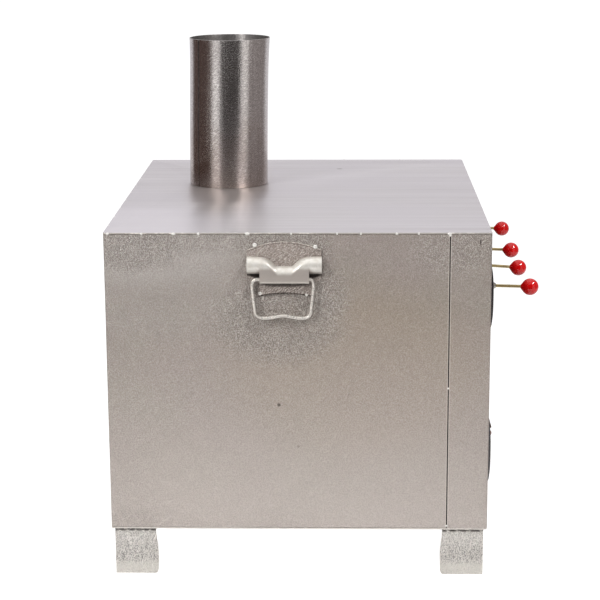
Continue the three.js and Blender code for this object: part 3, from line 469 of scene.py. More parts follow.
def cabinet_finish():
    """The cabinet's paint: coarse in patches, with painted shade in the seam, a painted light band along
    the hem and a few specks.
    """
    material, tree, shader, point = new_finish("hammertone_cabinet", metallic=0.5)
    height = axis_of(tree, point, "Z")
    coarse = total(tree, 0.2, patch_sum(tree, point, COARSE_PATCHES), clamp=True)
    skin = use_group(tree, HAMMERED_SKIN, Point=point, Size=480.0, Coarse=coarse)
    base = hammertone_base(tree, point, height, CABINET_PALE, coarse, skin["Shade"], 0.22)
    seam_depth = in_frame(0, SEAM_Y, 0).y
    away = maths(tree, "ABSOLUTE", less(tree, axis_of(tree, point, "Y"), seam_depth))
    glint, gap_shade = (remap(tree, away, start * MM, full * MM) for start, full in (SEAM_GLINT, SEAM_GAP_SHADE))
    under_lid = between_levels(tree, height, LID_SHADOW)
    hem_light = between_levels(tree, height, HEM_LIGHT_BAND)
    base = glaze(tree, base, glint, 0.4, GLINT_PALE)
    # Painted shade in the seam's gap and, fainter, under the top sheet's edge
    base = tint(tree, maths(tree, "MAXIMUM", gap_shade, product(tree, under_lid, 0.35)), base, GAP_SHADE_DARK)
    # Painted light along the bottom edge, where its rounded lip would sit in shade
    base = tint(tree, hem_light, base, HEM_LIGHT_PALE)
    base = tint(tree, patch_sum(tree, point, PAINT_SPECKS), base, SPECK_DARK)
    hammertone_coat(tree, shader, base, skin)
    return material


# Heights in frame metres over which a leg's foot is smooth and its upper part catches light
FOOT_SMOOTH = (0.019, 0.01)
LEG_LIGHT = (0.02, 0.052)
# Heights over the cabinet's underside: the top of a leg, burnt by welding and painted with shade, and the
# gap over it, charred and painted with shade
LEG_TOP_BURN_AND_SHADE = (-6, -4)
LEG_GAP = (-4.9, -3.9)
WELD_BURN_AND_SHADE = (52, 36, 26)
FOOT_GREY = (200, 197, 187)
GAP_CHAR_AND_SHADE = (48, 32, 24)
LEG_GLARE = (252, 248, 242)


def leg_finish():
    """The legs' paint: coarser than the cabinet's, smooth at the foot, and burnt and painted with shade at
    the welds under the cabinet.
    """
    material, tree, shader, point = new_finish("hammertone_leg", metallic=0.5)
    height = axis_of(tree, point, "Z")
    foot = remap(tree, height, *FOOT_SMOOTH)
    coarse = less(tree, 0.85, product(tree, foot, 0.6))
    stretched = vectors(tree, "MULTIPLY", point, (1, 1, 0.6))
    skin = use_group(tree, HAMMERED_SKIN, Point=stretched, Size=620.0, Coarse=coarse)
    base = hammertone_base(tree, point, height, LEG_PALE, coarse, skin["Shade"], 0.36)
    burn_and_shade = between_levels(tree, height, LEG_TOP_BURN_AND_SHADE)
    gap = between_levels(tree, height, LEG_GAP)
    upward = remap(tree, axis_of(tree, face_normal(tree), "Z"), 0.6, 0.9)
    # The leg's top: burnt by welding, and painted shade where it sits in the gap under the cabinet
    base = tint(tree, product(tree, upward, burn_and_shade), base, WELD_BURN_AND_SHADE)
    base = glaze(tree, base, foot, 0.5, FOOT_GREY)
    # Char in the gap over the leg, also painted shade, broken into dashes
    char_and_shade = remap(tree, speckle(tree, point, 170.0, 1.0), 0.45, 0.52)
    base = tint(tree, product(tree, gap, char_and_shade), base, GAP_CHAR_AND_SHADE)
    base = glaze(tree, base, remap(tree, height, *LEG_LIGHT), 0.35, LEG_GLARE)
    hammertone_coat(tree, shader, base, skin)
    return material


# ---------- The handle plate's paint ----------

# The plate's outline: half widths and drops from the cabinet's top edge, and its arcs' control rises
PLATE_HALF = 43
PLATE_RISE = 20
SHOULDER_DROP = 20
TAIL_HALF = 31
TAIL_DROP = 74
TAIL_HOLLOW = 8
CROWN_LEVEL = level_at(TOP_HIGH.z - SHOULDER_DROP + PLATE_RISE / 2)
TAIL_LEVEL = level_at(TOP_HIGH.z - TAIL_DROP + TAIL_HOLLOW / 2)
# Painted shadow under the bracket's barrels and its tongue: y, z, reach along both, and how much
BRACKET_SHADOW_SPOTS = (
    (HANDLE_Y - 31, 305, 9, 6, 1.0), (HANDLE_Y + 31, 305, 9, 6, 1.0),
    (HANDLE_Y - 38, 305.5, 9, 4, 0.8), (HANDLE_Y + 38, 305.5, 9, 4, 0.8),
    (HANDLE_Y, 294, 40, 4.2, 0.75),
)
RIPPLED_PATCH = (HANDLE_Y, 270, 45, 30)
RIPPLE_PACE = 1700.0
# How far from the plate's arcs their painted lines of light and shade run, where each starts and is full
TAIL_SHADOW_LINE = (1.6, 1.0)
RIM_GLINT_LINE = (1.1, 0.6)
CROWN_SHADE_IN = (1.1, 1.4)
CROWN_SHADE_OUT = (2.6, 1.8)
FRONT_SIDE = (41.7, 42.2)
# painted highlight on the ripples' crests and painted shade in their hollows, also used under the top arc
RIPPLE_GLINT = (236, 228, 220)
RIPPLE_SHADE = (84, 72, 64)
# painted shadow under the bracket
BRACKET_SHADOW_DARK = (34, 26, 21)
# painted shade on edges that face down and painted light on edges that face up
EDGE_SHADE_BELOW = (72, 60, 52)
EDGE_LIGHT_ABOVE = (224, 216, 206)
# painted shadow under the plate's tail
TAIL_SHADOW_DARK = (56, 45, 38)
# painted highlight along the plate's top arc
RIM_GLINT = (222, 214, 206)
# painted shadow along one side edge of the plate
SIDE_EDGE_SHADOW = (70, 58, 50)
WORN_PLATE = (236, 230, 222)


def plate_finish():
    """The handle plate's paint: sagged in slanting ripples, with painted shadows under the bracket and
    beside its edges, and painted highlights on its crests and top arc.
    """
    material, tree, shader, point = new_finish("hammertone_plate", metallic=0.5)
    skin = use_group(tree, HAMMERED_SKIN, Point=point, Size=330.0, Coarse=0.35)
    bend = add_node(tree, "TexNoise", None, Vector=point, Scale=150.0, Detail=1.0).outputs["Color"]
    bent = vectors(tree, "ADD", point, scaled(tree, bend, 0.005))
    slant = total(tree, axis_of(tree, bent, "Y"), axis_of(tree, bent, "Z"))
    ripple = maths(tree, "SINE", product(tree, slant, RIPPLE_PACE))
    low = zone(tree, point, *side_patch(*RIPPLED_PATCH))
    height = total(tree, skin["Height"], product(tree, ripple, remap(tree, low, 0, 1, 0.15, 0.5)))
    shade = total(tree, height, 0.5, clamp=True)
    # Painted highlight on the ripples' crests and painted shade in their hollows
    crest = product(tree, remap(tree, shade, 0.5, 1.0), 0.3)
    base = tint(tree, crest, CABINET_PALE, RIPPLE_GLINT)
    base = glaze(tree, base, remap(tree, shade, 0.5, 0.0), 0.35, RIPPLE_SHADE)
    # Painted shadow under the bracket's barrels and its tongue
    bracket_shadow = total(tree, patch_sum(tree, point, BRACKET_SHADOW_SPOTS), 0.0, clamp=True)
    base = tint(tree, bracket_shadow, base, BRACKET_SHADOW_DARK)
    # Painted light: edges that face up are lighter, and those that face down darker
    normal = face_normal(tree)
    facing = (axis_of(tree, normal, "Y"), axis_of(tree, normal, "Z"))
    base = glaze(tree, base, remap(tree, maths(tree, "MINIMUM", *facing), -0.3, -0.6), 0.8, EDGE_SHADE_BELOW)
    base = glaze(tree, base, remap(tree, maths(tree, "MAXIMUM", *facing), 0.3, 0.6), 0.8, EDGE_LIGHT_ABOVE)
    from_middle = less(tree, axis_of(tree, point, "Y"), in_frame(0, HANDLE_Y, 0).y)
    across = maths(tree, "DIVIDE", from_middle, TAIL_HALF * MM)
    squared = product(tree, across, across)
    rise = axis_of(tree, point, "Z")
    tail = less(tree, less(tree, rise, product(tree, squared, -TAIL_HOLLOW * MM / 2)), TAIL_LEVEL)
    crown_bend = -PLATE_RISE * MM / 2 * (TAIL_HALF / PLATE_HALF) ** 2
    crown = less(tree, CROWN_LEVEL, less(tree, rise, product(tree, squared, crown_bend)))

    def line(distance, ends):
        return remap(tree, distance, ends[0] * MM, ends[1] * MM)

    # Painted shadow along the plate's lower arc, where its tail stands off the wall
    base = tint(tree, line(tail, TAIL_SHADOW_LINE), base, TAIL_SHADOW_DARK)
    # Painted highlight, in dashes, along the plate's top arc
    broken = remap(tree, speckle(tree, point, 600.0, 2.0), 0.48, 0.58)
    base = glaze(tree, base, product(tree, line(crown, RIM_GLINT_LINE), broken), 0.8, RIM_GLINT)
    # Painted shade just under the top arc
    crown_shade = product(tree, line(crown, CROWN_SHADE_IN), line(crown, CROWN_SHADE_OUT))
    base = glaze(tree, base, crown_shade, 0.5, RIPPLE_SHADE)
    # Painted shadow along the plate's side edge
    front_side = remap(tree, across, *(-reach / TAIL_HALF for reach in FRONT_SIDE))
    base = glaze(tree, base, front_side, 0.8, SIDE_EDGE_SHADOW)
    base = glaze(tree, base, worn_edges(tree, point, 0.9 * MM, 300.0), 0.7, WORN_PLATE)
    coat(tree, shader, base, remap(tree, shade, 0, 1, 0.56, 0.42))
    emboss(tree, shader, height, 0.0006)
    return material


# ---------- The top sheet's satin steel ----------

FLAT_MAP = "flat"
# Short dark dashes on the sheet: x, y, reach along both, and how much
TOP_FLAWS = ((190, -46.5, 3, 5, 0.8), (-287, -172.2, 4, 3.4, 0.95))
SATIN_DARK = (184, 179, 181)
SATIN_LIGHT = (209, 205, 207)
SATIN_CLOUD = (198, 193, 198)
SATIN_CLEAN = (216, 211, 216)
# painted highlight along the sheet's side edges
EDGE_GLINT_PALE = (240, 236, 236)
CUT_GREY = (188, 181, 174)
CUT_PALE = (240, 234, 224)
FLAW_DARK = (70, 62, 60)
# painted reflection of the pipe in the sheet
PIPE_REFLECTION_TINT = (186, 172, 162)
CLEAN_PLACE = (-225, 190)
CLEAN_REACH = (0.16, 0.15, 0.1)
PIPE_REFLECTION_REACH = (0.3, 0.062, 0.1)
# Where the painted highlight along the side edges starts and is full, in frame metres
EDGE_GLINT_FROM = 0.2852
EDGE_GLINT_FULL = 0.2862


def satin_finish():
    """The bare top sheet: satin steel brushed along its depth, with a pale cut edge that is partly a
    painted highlight, and a painted reflection of the pipe.
    """
    material, tree, shader, point = new_finish("satin_top_sheet")
    lines = use_group(tree, BRUSHED_LINES, Point=point, Grain=(1500, 11, 1500))
    cloud = speckle(tree, point, 7.0, 3.0, 0.6)
    base = tint(tree, lines["Shade"], SATIN_DARK, SATIN_LIGHT)
    base = tint(tree, remap(tree, cloud, 0.35, 0.7, 0.0, 0.5), base, SATIN_CLOUD)
    cleaner = zone(tree, point, in_frame(*CLEAN_PLACE, TOP_HIGH.z), CLEAN_REACH)
    base = glaze(tree, base, cleaner, 0.6, SATIN_CLEAN)
    cut = remap(tree, axis_of(tree, face_normal(tree), "Z"), 0.85, 0.55)
    # Painted highlight along the sheet's side edges
    side = maths(tree, "ABSOLUTE", axis_of(tree, point, "X"))
    base = glaze(tree, base, remap(tree, side, EDGE_GLINT_FROM, EDGE_GLINT_FULL), 0.5, EDGE_GLINT_PALE)
    nicks = remap(tree, speckle(tree, point, 60.0, 3.0, 0.7), 0.5, 0.66)
    # The cut edge: pale bare steel, made paler and not metallic as a painted highlight where it catches
    # light from above
    base = tint(tree, cut, base, tint(tree, nicks, CUT_GREY, CUT_PALE))
    base = tint(tree, patch_sum(tree, point, TOP_FLAWS, top_patch), base, FLAW_DARK)
    # Painted reflection: a darker warm strip where the pipe mirrors in the sheet
    pipe_reflection = zone(tree, point, in_frame(PIPE_X, PIPE_Y, TOP_HIGH.z), PIPE_REFLECTION_REACH)
    base = glaze(tree, base, pipe_reflection, 0.35, PIPE_REFLECTION_TINT)
    coat(tree, shader, base, remap(tree, lines["Shade"], 0, 1, 0.33, 0.39))
    feed(tree, shader.inputs["Metallic"], remap(tree, cut, 0, 1, 1.0, 0.0))
    shader.inputs["Anisotropic"].default_value = 0.6
    along = add_node(tree, "Tangent", {"direction_type": "UV_MAP", "uv_map": FLAT_MAP})
    tree.links.new(along.outputs["Tangent"], shader.inputs["Tangent"])
    soft = emboss(tree, shader, streaks(tree, point, (9, 3, 9), 2.0), 0.0006)
    emboss(tree, shader, lines["Height"], 0.00004, under=soft)
    return material


# ---------- The flue pipe's steel ----------

PIPE_DARK = (178, 173, 171)
PIPE_LIGHT = (192, 187, 185)
HEAT_STAIN = (152, 132, 118)
SCRATCH_PALE = (252, 250, 247)
GRAIN_PALE = (250, 248, 245)
GRAIN_DARK = (120, 115, 112)
SOOT_BLACK = (38, 33, 30)
BRUSH_SLANT = 24
# Where the outside is scratched and where the far inside wall is painted lighter, as lit: x and y from the
# pipe's axis, z, and the reach in metres
SCRATCHED = ((-46, 17, 462), (0.06, 0.018, 0.07))
FAR_WALL_LIT = ((50, 6, 541), (0.05, 0.034, 0.04))


def pipe_zone(tree, point, place, reach):
    x, y, z = place
    return zone(tree, point, in_frame(PIPE_X + x, PIPE_Y + y, z), reach)


def pipe_finish():
    """Rolled steel flue pipe, scratched outside, sooty inside and heat-stained at its foot."""
    material, tree, shader, point = new_finish("rolled_pipe_steel")
    lines = use_group(tree, BRUSHED_LINES, Point=point, Grain=(420, 420, 7))
    base = tint(tree, lines["Shade"], PIPE_DARK, PIPE_LIGHT)
    base = glaze(tree, base, soot_film(tree, point, 0.40, 0.58, 14.0), 0.5, HEAT_STAIN)
    slanted = add_node(tree, "Mapping", None, Vector=point, Rotation=(math.radians(BRUSH_SLANT), 0, 0))
    slanted = slanted.outputs["Vector"]
    flecks = remap(tree, streaks(tree, slanted, (460, 460, 1900), 0.0), 0.52, 0.66)
    scratched = product(tree, flecks, pipe_zone(tree, point, *SCRATCHED))
    base = glaze(tree, base, scratched, 0.2, SCRATCH_PALE)
    grain = streaks(tree, slanted, (290, 290, 1080), 1.0)
    base = tint(tree, remap(tree, grain, 0.5, 0.7, 0.0, 0.27), base, GRAIN_PALE)
    base = tint(tree, remap(tree, grain, 0.5, 0.3, 0.0, 0.27), base, GRAIN_DARK)
    from_axis = vectors(tree, "SUBTRACT", point, in_frame(PIPE_X, PIPE_Y, 0))
    outward = vectors(tree, "NORMALIZE", vectors(tree, "MULTIPLY", from_axis, (1, 1, 0)))
    normal = face_normal(tree)
    inward = remap(tree, vectors(tree, "DOT_PRODUCT", normal, outward), 0.2, -0.2)
    # Painted light: less soot on the far inside wall, as lit through the opening
    far_wall_light = pipe_zone(tree, point, *FAR_WALL_LIT)
    inward = product(tree, inward, remap(tree, far_wall_light, 0, 1, 1.0, 0.35))
    soot = soot_film(tree, point, 0.43, 0.72, 30.0)
    inside = product(tree, inward, remap(tree, soot, 0, 1, 0.62, 0.97))
    rim = remap(tree, axis_of(tree, normal, "Z"), 0.5, 0.9)
    grime = maths(tree, "MAXIMUM", inside, rim)
    base = tint(tree, grime, base, SOOT_BLACK)
    coat(tree, shader, base,
         total(tree, remap(tree, lines["Shade"], 0, 1, 0.19, 0.25), product(tree, grime, 0.4)))
    feed(tree, shader.inputs["Metallic"], remap(tree, grime, 0, 1, 1.0, 0.3))
    ticks = streaks(tree, point, (640, 640, 1500), 1.0)
    rings = streaks(tree, point, (35, 35, 1500), 2.0, 0.6)
    height = total(tree, product(tree, lines["Height"], 0.3), product(tree, rings, 0.8))
    emboss(tree, shader, total(tree, height, product(tree, ticks, 2.4)), 0.00005)
    return material


# ---------- Small metal parts ----------

WORN_SILVER = (240, 236, 230)
PAINTED_UNDERSIDE_SHADE = (92, 85, 78)
BEIGE_OVERSPRAY_AND_SHADE = (172, 162, 155)
LIP_GLINT = (236, 230, 221)
# Where the beige, partly overspray and partly painted shade, reaches up the bracket, on both sides of its
# dip
BEIGE_CHEEKS = ((HANDLE_Y - 21, 308, 14, 30, 1.0), (HANDLE_Y + 21, 308, 14, 30, 1.0))
CHEEK_RISE = 6.5
BEIGE_BELOW = (309.5, 304.5)
# Heights where the painted highlight along the lip starts and is full
LIP_GLINT_BELOW = (298.2, 297.4)


def silver_finish(name, light, dark, metallic, roughness, grain=0.00008, overspray_and_shade=False,
                  underside_shade=0.0):
    """Silver lacquer or bare steel, with painted shade on its back and underside where asked, and a lower
    part in beige that is partly overspray and partly painted shade, with a painted highlight along the lip.
    """
    material, tree, shader, point = new_finish(name, metallic=metallic)
    cloud = speckle(tree, point, 160.0, 3.0, 0.6)
    base = tint(tree, remap(tree, cloud, 0.3, 0.7), light, dark)
    base = glaze(tree, base, worn_edges(tree, point, 0.7 * MM, 300.0), 0.6, WORN_SILVER)
    if underside_shade:
        # Painted shade on the back and underside
        normal = point.node.outputs["Normal"]
        lowest = maths(tree, "MINIMUM", axis_of(tree, normal, "Y"), axis_of(tree, normal, "Z"))
        base = glaze(tree, base, remap(tree, lowest, 0.05, -0.5), underside_shade, PAINTED_UNDERSIDE_SHADE)
    if overspray_and_shade:
        # Beige over the lower part, partly overspray and partly painted shade
        height = axis_of(tree, point, "Z")
        lowered = less(tree, height, product(tree, patch_sum(tree, point, BEIGE_CHEEKS), CHEEK_RISE * MM))
        base = glaze(tree, base, between_levels(tree, lowered, BEIGE_BELOW), 0.9, BEIGE_OVERSPRAY_AND_SHADE)
        # Painted highlight along the tongue's lip
        base = glaze(tree, base, between_levels(tree, height, LIP_GLINT_BELOW), 0.85, LIP_GLINT)
    coat(tree, shader, base, remap(tree, cloud, 0.3, 0.7, roughness - 0.06, roughness + 0.08))
    emboss(tree, shader, speckle(tree, point, 700.0, 2.0), grain)
    return material


ENAMEL_DARK = (36, 29, 33)
ENAMEL_LIGHT = (50, 42, 46)
CHIPPED_ENAMEL = (96, 84, 78)


def enamel_finish():
    """Black enamel with faint orange peel and chipped edges."""
    material, tree, shader, point = new_finish("black_enamel", roughness=0.3)
    cloud = speckle(tree, point, 24.0, 4.0, 0.6)
    base = tint(tree, remap(tree, cloud, 0.3, 0.7), ENAMEL_DARK, ENAMEL_LIGHT)
    base = glaze(tree, base, worn_edges(tree, point, 0.9 * MM, 210.0), 0.55, CHIPPED_ENAMEL)
    coat(tree, shader, base, remap(tree, cloud, 0.3, 0.7, 0.24, 0.42))
    shader.inputs["Coat Weight"].default_value = 0.3
    shader.inputs["Coat Roughness"].default_value = 0.15
    emboss(tree, shader, speckle(tree, point, 420.0, 1.0), 0.00009)
    return material


ZINC_DARK = (132, 113, 75)
ZINC_LIGHT = (168, 152, 113)
ROD_RUST = (92, 62, 34)


def rod_finish():
    """Yellow-passivated zinc on the drawer rods."""
    material, tree, shader, point = new_finish("yellow_zinc_rod", metallic=0.9)
    lines = use_group(tree, BRUSHED_LINES, Point=point, Grain=(500, 60, 500))
    base = tint(tree, lines["Shade"], ZINC_DARK, ZINC_LIGHT)
    rust = remap(tree, speckle(tree, point, 130.0, 3.0, 0.6), 0.55, 0.75)
    base = glaze(tree, base, rust, 0.5, ROD_RUST)
    coat(tree, shader, base, remap(tree, rust, 0, 1, 0.3, 0.55))
    emboss(tree, shader, lines["Height"], 0.00006)
    return material


BALL_DARK = (228, 6, 10)
BALL_LIGHT = (242, 14, 15)
BALL_SPECK = (96, 20, 14)


def ball_finish():
    """Glossy red moulded knob with a slightly uneven surface."""
    material, tree, shader, point = new_finish("red_moulded_ball", roughness=0.12)
    cloud = speckle(tree, point, 60.0, 3.0, 0.6)
    base = tint(tree, remap(tree, cloud, 0.3, 0.7), BALL_DARK, BALL_LIGHT)
    specks = remap(tree, speckle(tree, point, 700.0, 1.0), 0.7, 0.76)
    base = glaze(tree, base, specks, 0.6, BALL_SPECK)
    coat(tree, shader, base, remap(tree, cloud, 0.3, 0.7, 0.05, 0.08))
    shader.inputs["Specular IOR Level"].default_value = 0.4
    emboss(tree, shader, speckle(tree, point, 120.0, 0.0), 0.00002)
    return material


# ---------- Sheet, iron and wool inside ----------

SPANGLE_DARK = (150, 149, 147)
SPANGLE_LIGHT = (184, 183, 180)
HEAT_BROWN = (150, 122, 92)
SHEET_SOOT = (34, 31, 29)
SHEET_RUST = (112, 66, 40)


def sheet_finish(name, soot_low, soot_high, rust_amount):
    """Galvanised sheet that has been in the heat: spangle, soot from below and rust bloom."""
    material, tree, shader, point = new_finish(name, metallic=0.85)
    spangle = add_node(tree, "TexVoronoi", None, Vector=point, Scale=85.0).outputs["Color"]
    grey = add_node(tree, "SeparateColor", None, Color=spangle).outputs["Red"]
    base = tint(tree, grey, SPANGLE_DARK, SPANGLE_LIGHT)
    heat = remap(tree, speckle(tree, point, 9.0, 4.0, 0.6), 0.45, 0.7)
    base = glaze(tree, base, heat, 0.35, HEAT_BROWN)
    soot = soot_film(tree, point, soot_low, soot_high, 26.0)
    base = glaze(tree, base, soot, 0.85, SHEET_SOOT)
    rust = remap(tree, speckle(tree, point, 70.0, 5.0, 0.65), 0.62, 0.74)
    rust = product(tree, rust, rust_amount)
    base = tint(tree, rust, base, SHEET_RUST)
    dull = total(tree, soot, rust)
    coat(tree, shader, base, remap(tree, dull, 0, 1, 0.34, 0.75))
    feed(tree, shader.inputs["Metallic"], remap(tree, dull, 0, 1, 0.9, 0.15))
    emboss(tree, shader, speckle(tree, point, 520.0, 2.0), 0.00008)
    return material


IRON_RUST = (104, 62, 40)
WORN_IRON = (128, 120, 114)


def iron_finish(name, dark, light):
    """Bare iron from the fire: dark scale, ash and rust."""
    material, tree, shader, point = new_finish(name, metallic=0.45)
    scale = speckle(tree, point, 90.0, 5.0, 0.65)
    base = tint(tree, remap(tree, scale, 0.3, 0.7), dark, light)
    rust = remap(tree, speckle(tree, point, 38.0, 5.0, 0.6), 0.5, 0.68)
    base = glaze(tree, base, rust, 0.6, IRON_RUST)
    base = glaze(tree, base, worn_edges(tree, point, 1.0 * MM, 150.0), 0.5, WORN_IRON)
    coat(tree, shader, base, remap(tree, scale, 0.3, 0.7, 0.6, 0.85))
    emboss(tree, shader, scale, 0.0004)
    return material


WOOL_DARK = (150, 132, 92)
WOOL_LIGHT = (200, 184, 142)
WOOL_GAP_SHADE = (30, 24, 20)


def wool_finish():
    """Mineral wool board: matted yellow-brown fibres, with painted shade behind the cabinet's seam."""
    material, tree, shader, point = new_finish("mineral_wool_board", roughness=0.95)
    fibres = speckle(tree, vectors(tree, "MULTIPLY", point, (1, 1, 5)), 220.0, 5.0, 0.7)
    base = tint(tree, remap(tree, fibres, 0.3, 0.7), WOOL_DARK, WOOL_LIGHT)
    seam_depth = in_frame(0, SEAM_Y, 0).y
    away = maths(tree, "ABSOLUTE", less(tree, axis_of(tree, point, "Y"), seam_depth))
    # Painted shade where the board shows through the seam's gap
    base = tint(tree, remap(tree, away, 0.014, 0.006), base, WOOL_GAP_SHADE)
    coat(tree, shader, base, remap(tree, fibres, 0.3, 0.7, 0.85, 1.0))
    emboss(tree, shader, fibres, 0.0008)
    return material


CABINET_PAINT = cabinet_finish()
LEG_PAINT = leg_finish()
PLATE_PAINT = plate_finish()
SATIN_TOP = satin_finish()
PIPE_STEEL = pipe_finish()
BRACKET_SILVER = silver_finish("bracket_silver", (238, 234, 227), (220, 214, 205), 0.35, 0.36,
                               overspray_and_shade=True, underside_shade=0.3)
BAIL_SILVER = silver_finish("bail_silver", (242, 236, 228), (224, 217, 209), 0.5, 0.28, 0.00001,
                            underside_shade=0.75)
TACK_SILVER = silver_finish("tack_silver", (250, 248, 244), (236, 232, 226), 0.0, 0.25)
BLACK_ENAMEL = enamel_finish()
ROD_ZINC = rod_finish()
NUT_STEEL = silver_finish("nut_steel", (170, 166, 158), (132, 128, 120), 0.9, 0.34)
SCREW_STEEL = silver_finish("screw_steel", (150, 118, 106), (110, 84, 76), 0.8, 0.45)
BALL_RED = ball_finish()
ROAST_SHEET = sheet_finish("roast_tray_sheet", 0.24, 0.36, 0.4)
CHARCOAL_SHEET = sheet_finish("charcoal_tray_sheet", 0.10, 0.30, 0.8)
CHAMBER_SHEET = sheet_finish("chamber_sheet", 0.06, 0.62, 0.6)
FIRE_IRON = iron_finish("fire_iron", (44, 40, 38), (72, 66, 62))
PULL_IRON = iron_finish("pull_iron", (34, 31, 30), (54, 49, 47))
WOOL_BOARD = wool_finish()


# ---------- Shape helpers ----------

# How much of a face's normal lies along an axis when the face counts as looking that way
FACING = 0.9
TO_FRONT = Matrix.Rotation(math.pi / 2, 4, "X")


def merge_into(target, source):
    """Adds a shape to another and frees it."""
    carrier = bpy.data.meshes.new("carrier")
    source.to_mesh(carrier)
    source.free()
    target.from_mesh(carrier)
    bpy.data.meshes.remove(carrier)


def box_shape(low, high):
    shape = bmesh.new()
    bmesh.ops.create_cube(shape, size=1)
    bmesh.ops.scale(shape, vec=high - low, verts=shape.verts)
    bmesh.ops.translate(shape, vec=(low + high) / 2, verts=shape.verts)
    return shape


def round_edges(shape, edges, width, segments=3):
    bmesh.ops.bevel(shape, geom=list(edges), offset=width, offset_type="OFFSET", affect="EDGES",
                    segments=segments, profile=0.5, material=-1, clamp_overlap=True)


def points_of(geometry):
    return [item for item in geometry if isinstance(item, bmesh.types.BMVert)]


def edges_of(geometry):
    return [item for item in geometry if isinstance(item, bmesh.types.BMEdge)]


def edges_along(shape, axis):
    """The edges that run along an axis: 0 is x, 1 is y and 2 is z."""
    found = []
    for edge in shape.edges:
        run = edge.verts[1].co - edge.verts[0].co
        if run.length > 0 and abs(run[axis]) / run.length > 0.999:
            found.append(edge)
    return found


def folded_edges(shape, angle=30):
    limit = math.radians(angle)
    return [e for e in shape.edges if len(e.link_faces) == 2 and e.calc_face_angle(0) > limit]


def spin_shape(profile, facets, closed=False):
    """Turns a line of (radius, height) points about the z axis."""
    shape = bmesh.new()
    points = [shape.verts.new((r, 0, z)) for r, z in profile]
    edges = [shape.edges.new(pair) for pair in zip(points, points[1:])]
    if closed:
        edges.append(shape.edges.new((points[-1], points[0])))
    bmesh.ops.spin(shape, geom=points + edges, cent=(0, 0, 0), axis=(0, 0, 1), dvec=(0, 0, 0),
                   angle=math.tau, steps=facets, use_merge=True, use_normal_flip=False,
                   use_duplicate=False)
    bmesh.ops.remove_doubles(shape, verts=shape.verts, dist=0.001)
    bmesh.ops.recalc_face_normals(shape, faces=shape.faces)
    return shape


def slice_shape(shape, place, across, clear_outer=False):
    """Cuts edges into a shape where a plane crosses it."""
    everything = list(shape.verts) + list(shape.edges) + list(shape.faces)
    bmesh.ops.bisect_plane(shape, geom=everything, plane_co=place, plane_no=across,
                           clear_outer=clear_outer)


def shaped_grid(across, along, place):
    """A sheet of squares whose points go where place(u, v) says, with u and v from 0 to 1."""
    shape = bmesh.new()
    bmesh.ops.create_grid(shape, x_segments=across, y_segments=along, size=1)
    for vert in shape.verts:
        vert.co = place((vert.co.x + 1) / 2, (vert.co.y + 1) / 2)
    return shape


LUMP_ROUGHNESS = 0.28


def lump(place, size, seed):
    """A bead of weld metal: a ball that is stretched and pushed about."""
    shape = bmesh.new()
    bmesh.ops.create_icosphere(shape, subdivisions=3, radius=1)
    for vert in shape.verts:
        swell = 1 + LUMP_ROUGHNESS * noise.noise(vert.co * 1.4 + Vector((seed * 7.3, seed * 1.9, 0)))
        vert.co *= swell
    bmesh.ops.scale(shape, vec=size, verts=shape.verts)
    bmesh.ops.translate(shape, vec=place, verts=shape.verts)
    return shape


def merged_copy(node):
    """A CAD node's shape with its loose triangles joined into whole faces."""
    shape = bmesh.new()
    shape.from_mesh(NODES[node].data)
    shape.transform(TO_FRAME.inverted())
    bmesh.ops.remove_doubles(shape, verts=shape.verts, dist=0.005)
    bmesh.ops.dissolve_limit(shape, angle_limit=math.radians(1), verts=shape.verts, edges=shape.edges)
    return shape


def add_piece(name, shape, body, material, replaced=(), crease=35, wall=0, edge=0):
    """Makes a finished piece that rides on a body, with its place in its mesh."""
    shape.transform(TO_FRAME)
    mesh = bpy.data.meshes.new(name)
    shape.to_mesh(mesh)
    shape.free()
    mesh.shade_smooth()
    mesh.set_sharp_from_angle(angle=math.radians(crease))
    mesh.materials.append(material)
    piece = bpy.data.objects.new(name, mesh)
    bpy.context.scene.collection.objects.link(piece)
    if wall:
        solid = piece.modifiers.new("wall", "SOLIDIFY")
        solid.thickness = wall * MM
        solid.offset = -1
        solid.use_even_offset = True
    if edge:
        rounding = piece.modifiers.new("edge", "BEVEL")
        rounding.width = edge * MM
        rounding.segments = 2
        rounding.limit_method = "ANGLE"
        rounding.angle_limit = math.radians(crease)
    if wall or edge:
        shading = piece.modifiers.new("shading", "WEIGHTED_NORMAL")
        shading.keep_sharp = True
    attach(piece, body)
    if replaced:
        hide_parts(*replaced)
    return piece


def soften(node, name, body, material, edge=0.4, segments=2):
    """A node's own shape with its corners taken off."""
    shape = merged_copy(node)
    round_edges(shape, folded_edges(shape), edge, segments)
    return add_piece(name, shape, body, material, [node], crease=50)


# ---------- Cabinet ----------

SHEET = 1.5
SHEET_EDGE = 0.35
CORNER = 3
CORNER_STEPS = 6
WRAP_CUTS_UP = 9
WRAP_CUTS_ALONG = 31
LONG_EDGE = 100
WAVE = 0.3
LOWER_WAVE = 0.3


def buckle(shape, seed):
    """Dents thin sheet inwards a little between its edges, and leaves its lower edge uneven."""
    shape.normal_update()
    floor = min(v.co.z for v in shape.verts)
    for vert in shape.verts:
        ripple = 0.5 + 0.5 * noise.noise(vert.co * 0.013 + Vector((seed, 0, 0)))
        inward = -WAVE * ripple * vert.normal
        if vert.co.z < floor + 0.1:
            inward.z = LOWER_WAVE * (0.5 + 0.5 * noise.noise(vert.co * 0.035 + Vector((seed, 4, 0))))
        vert.co += inward


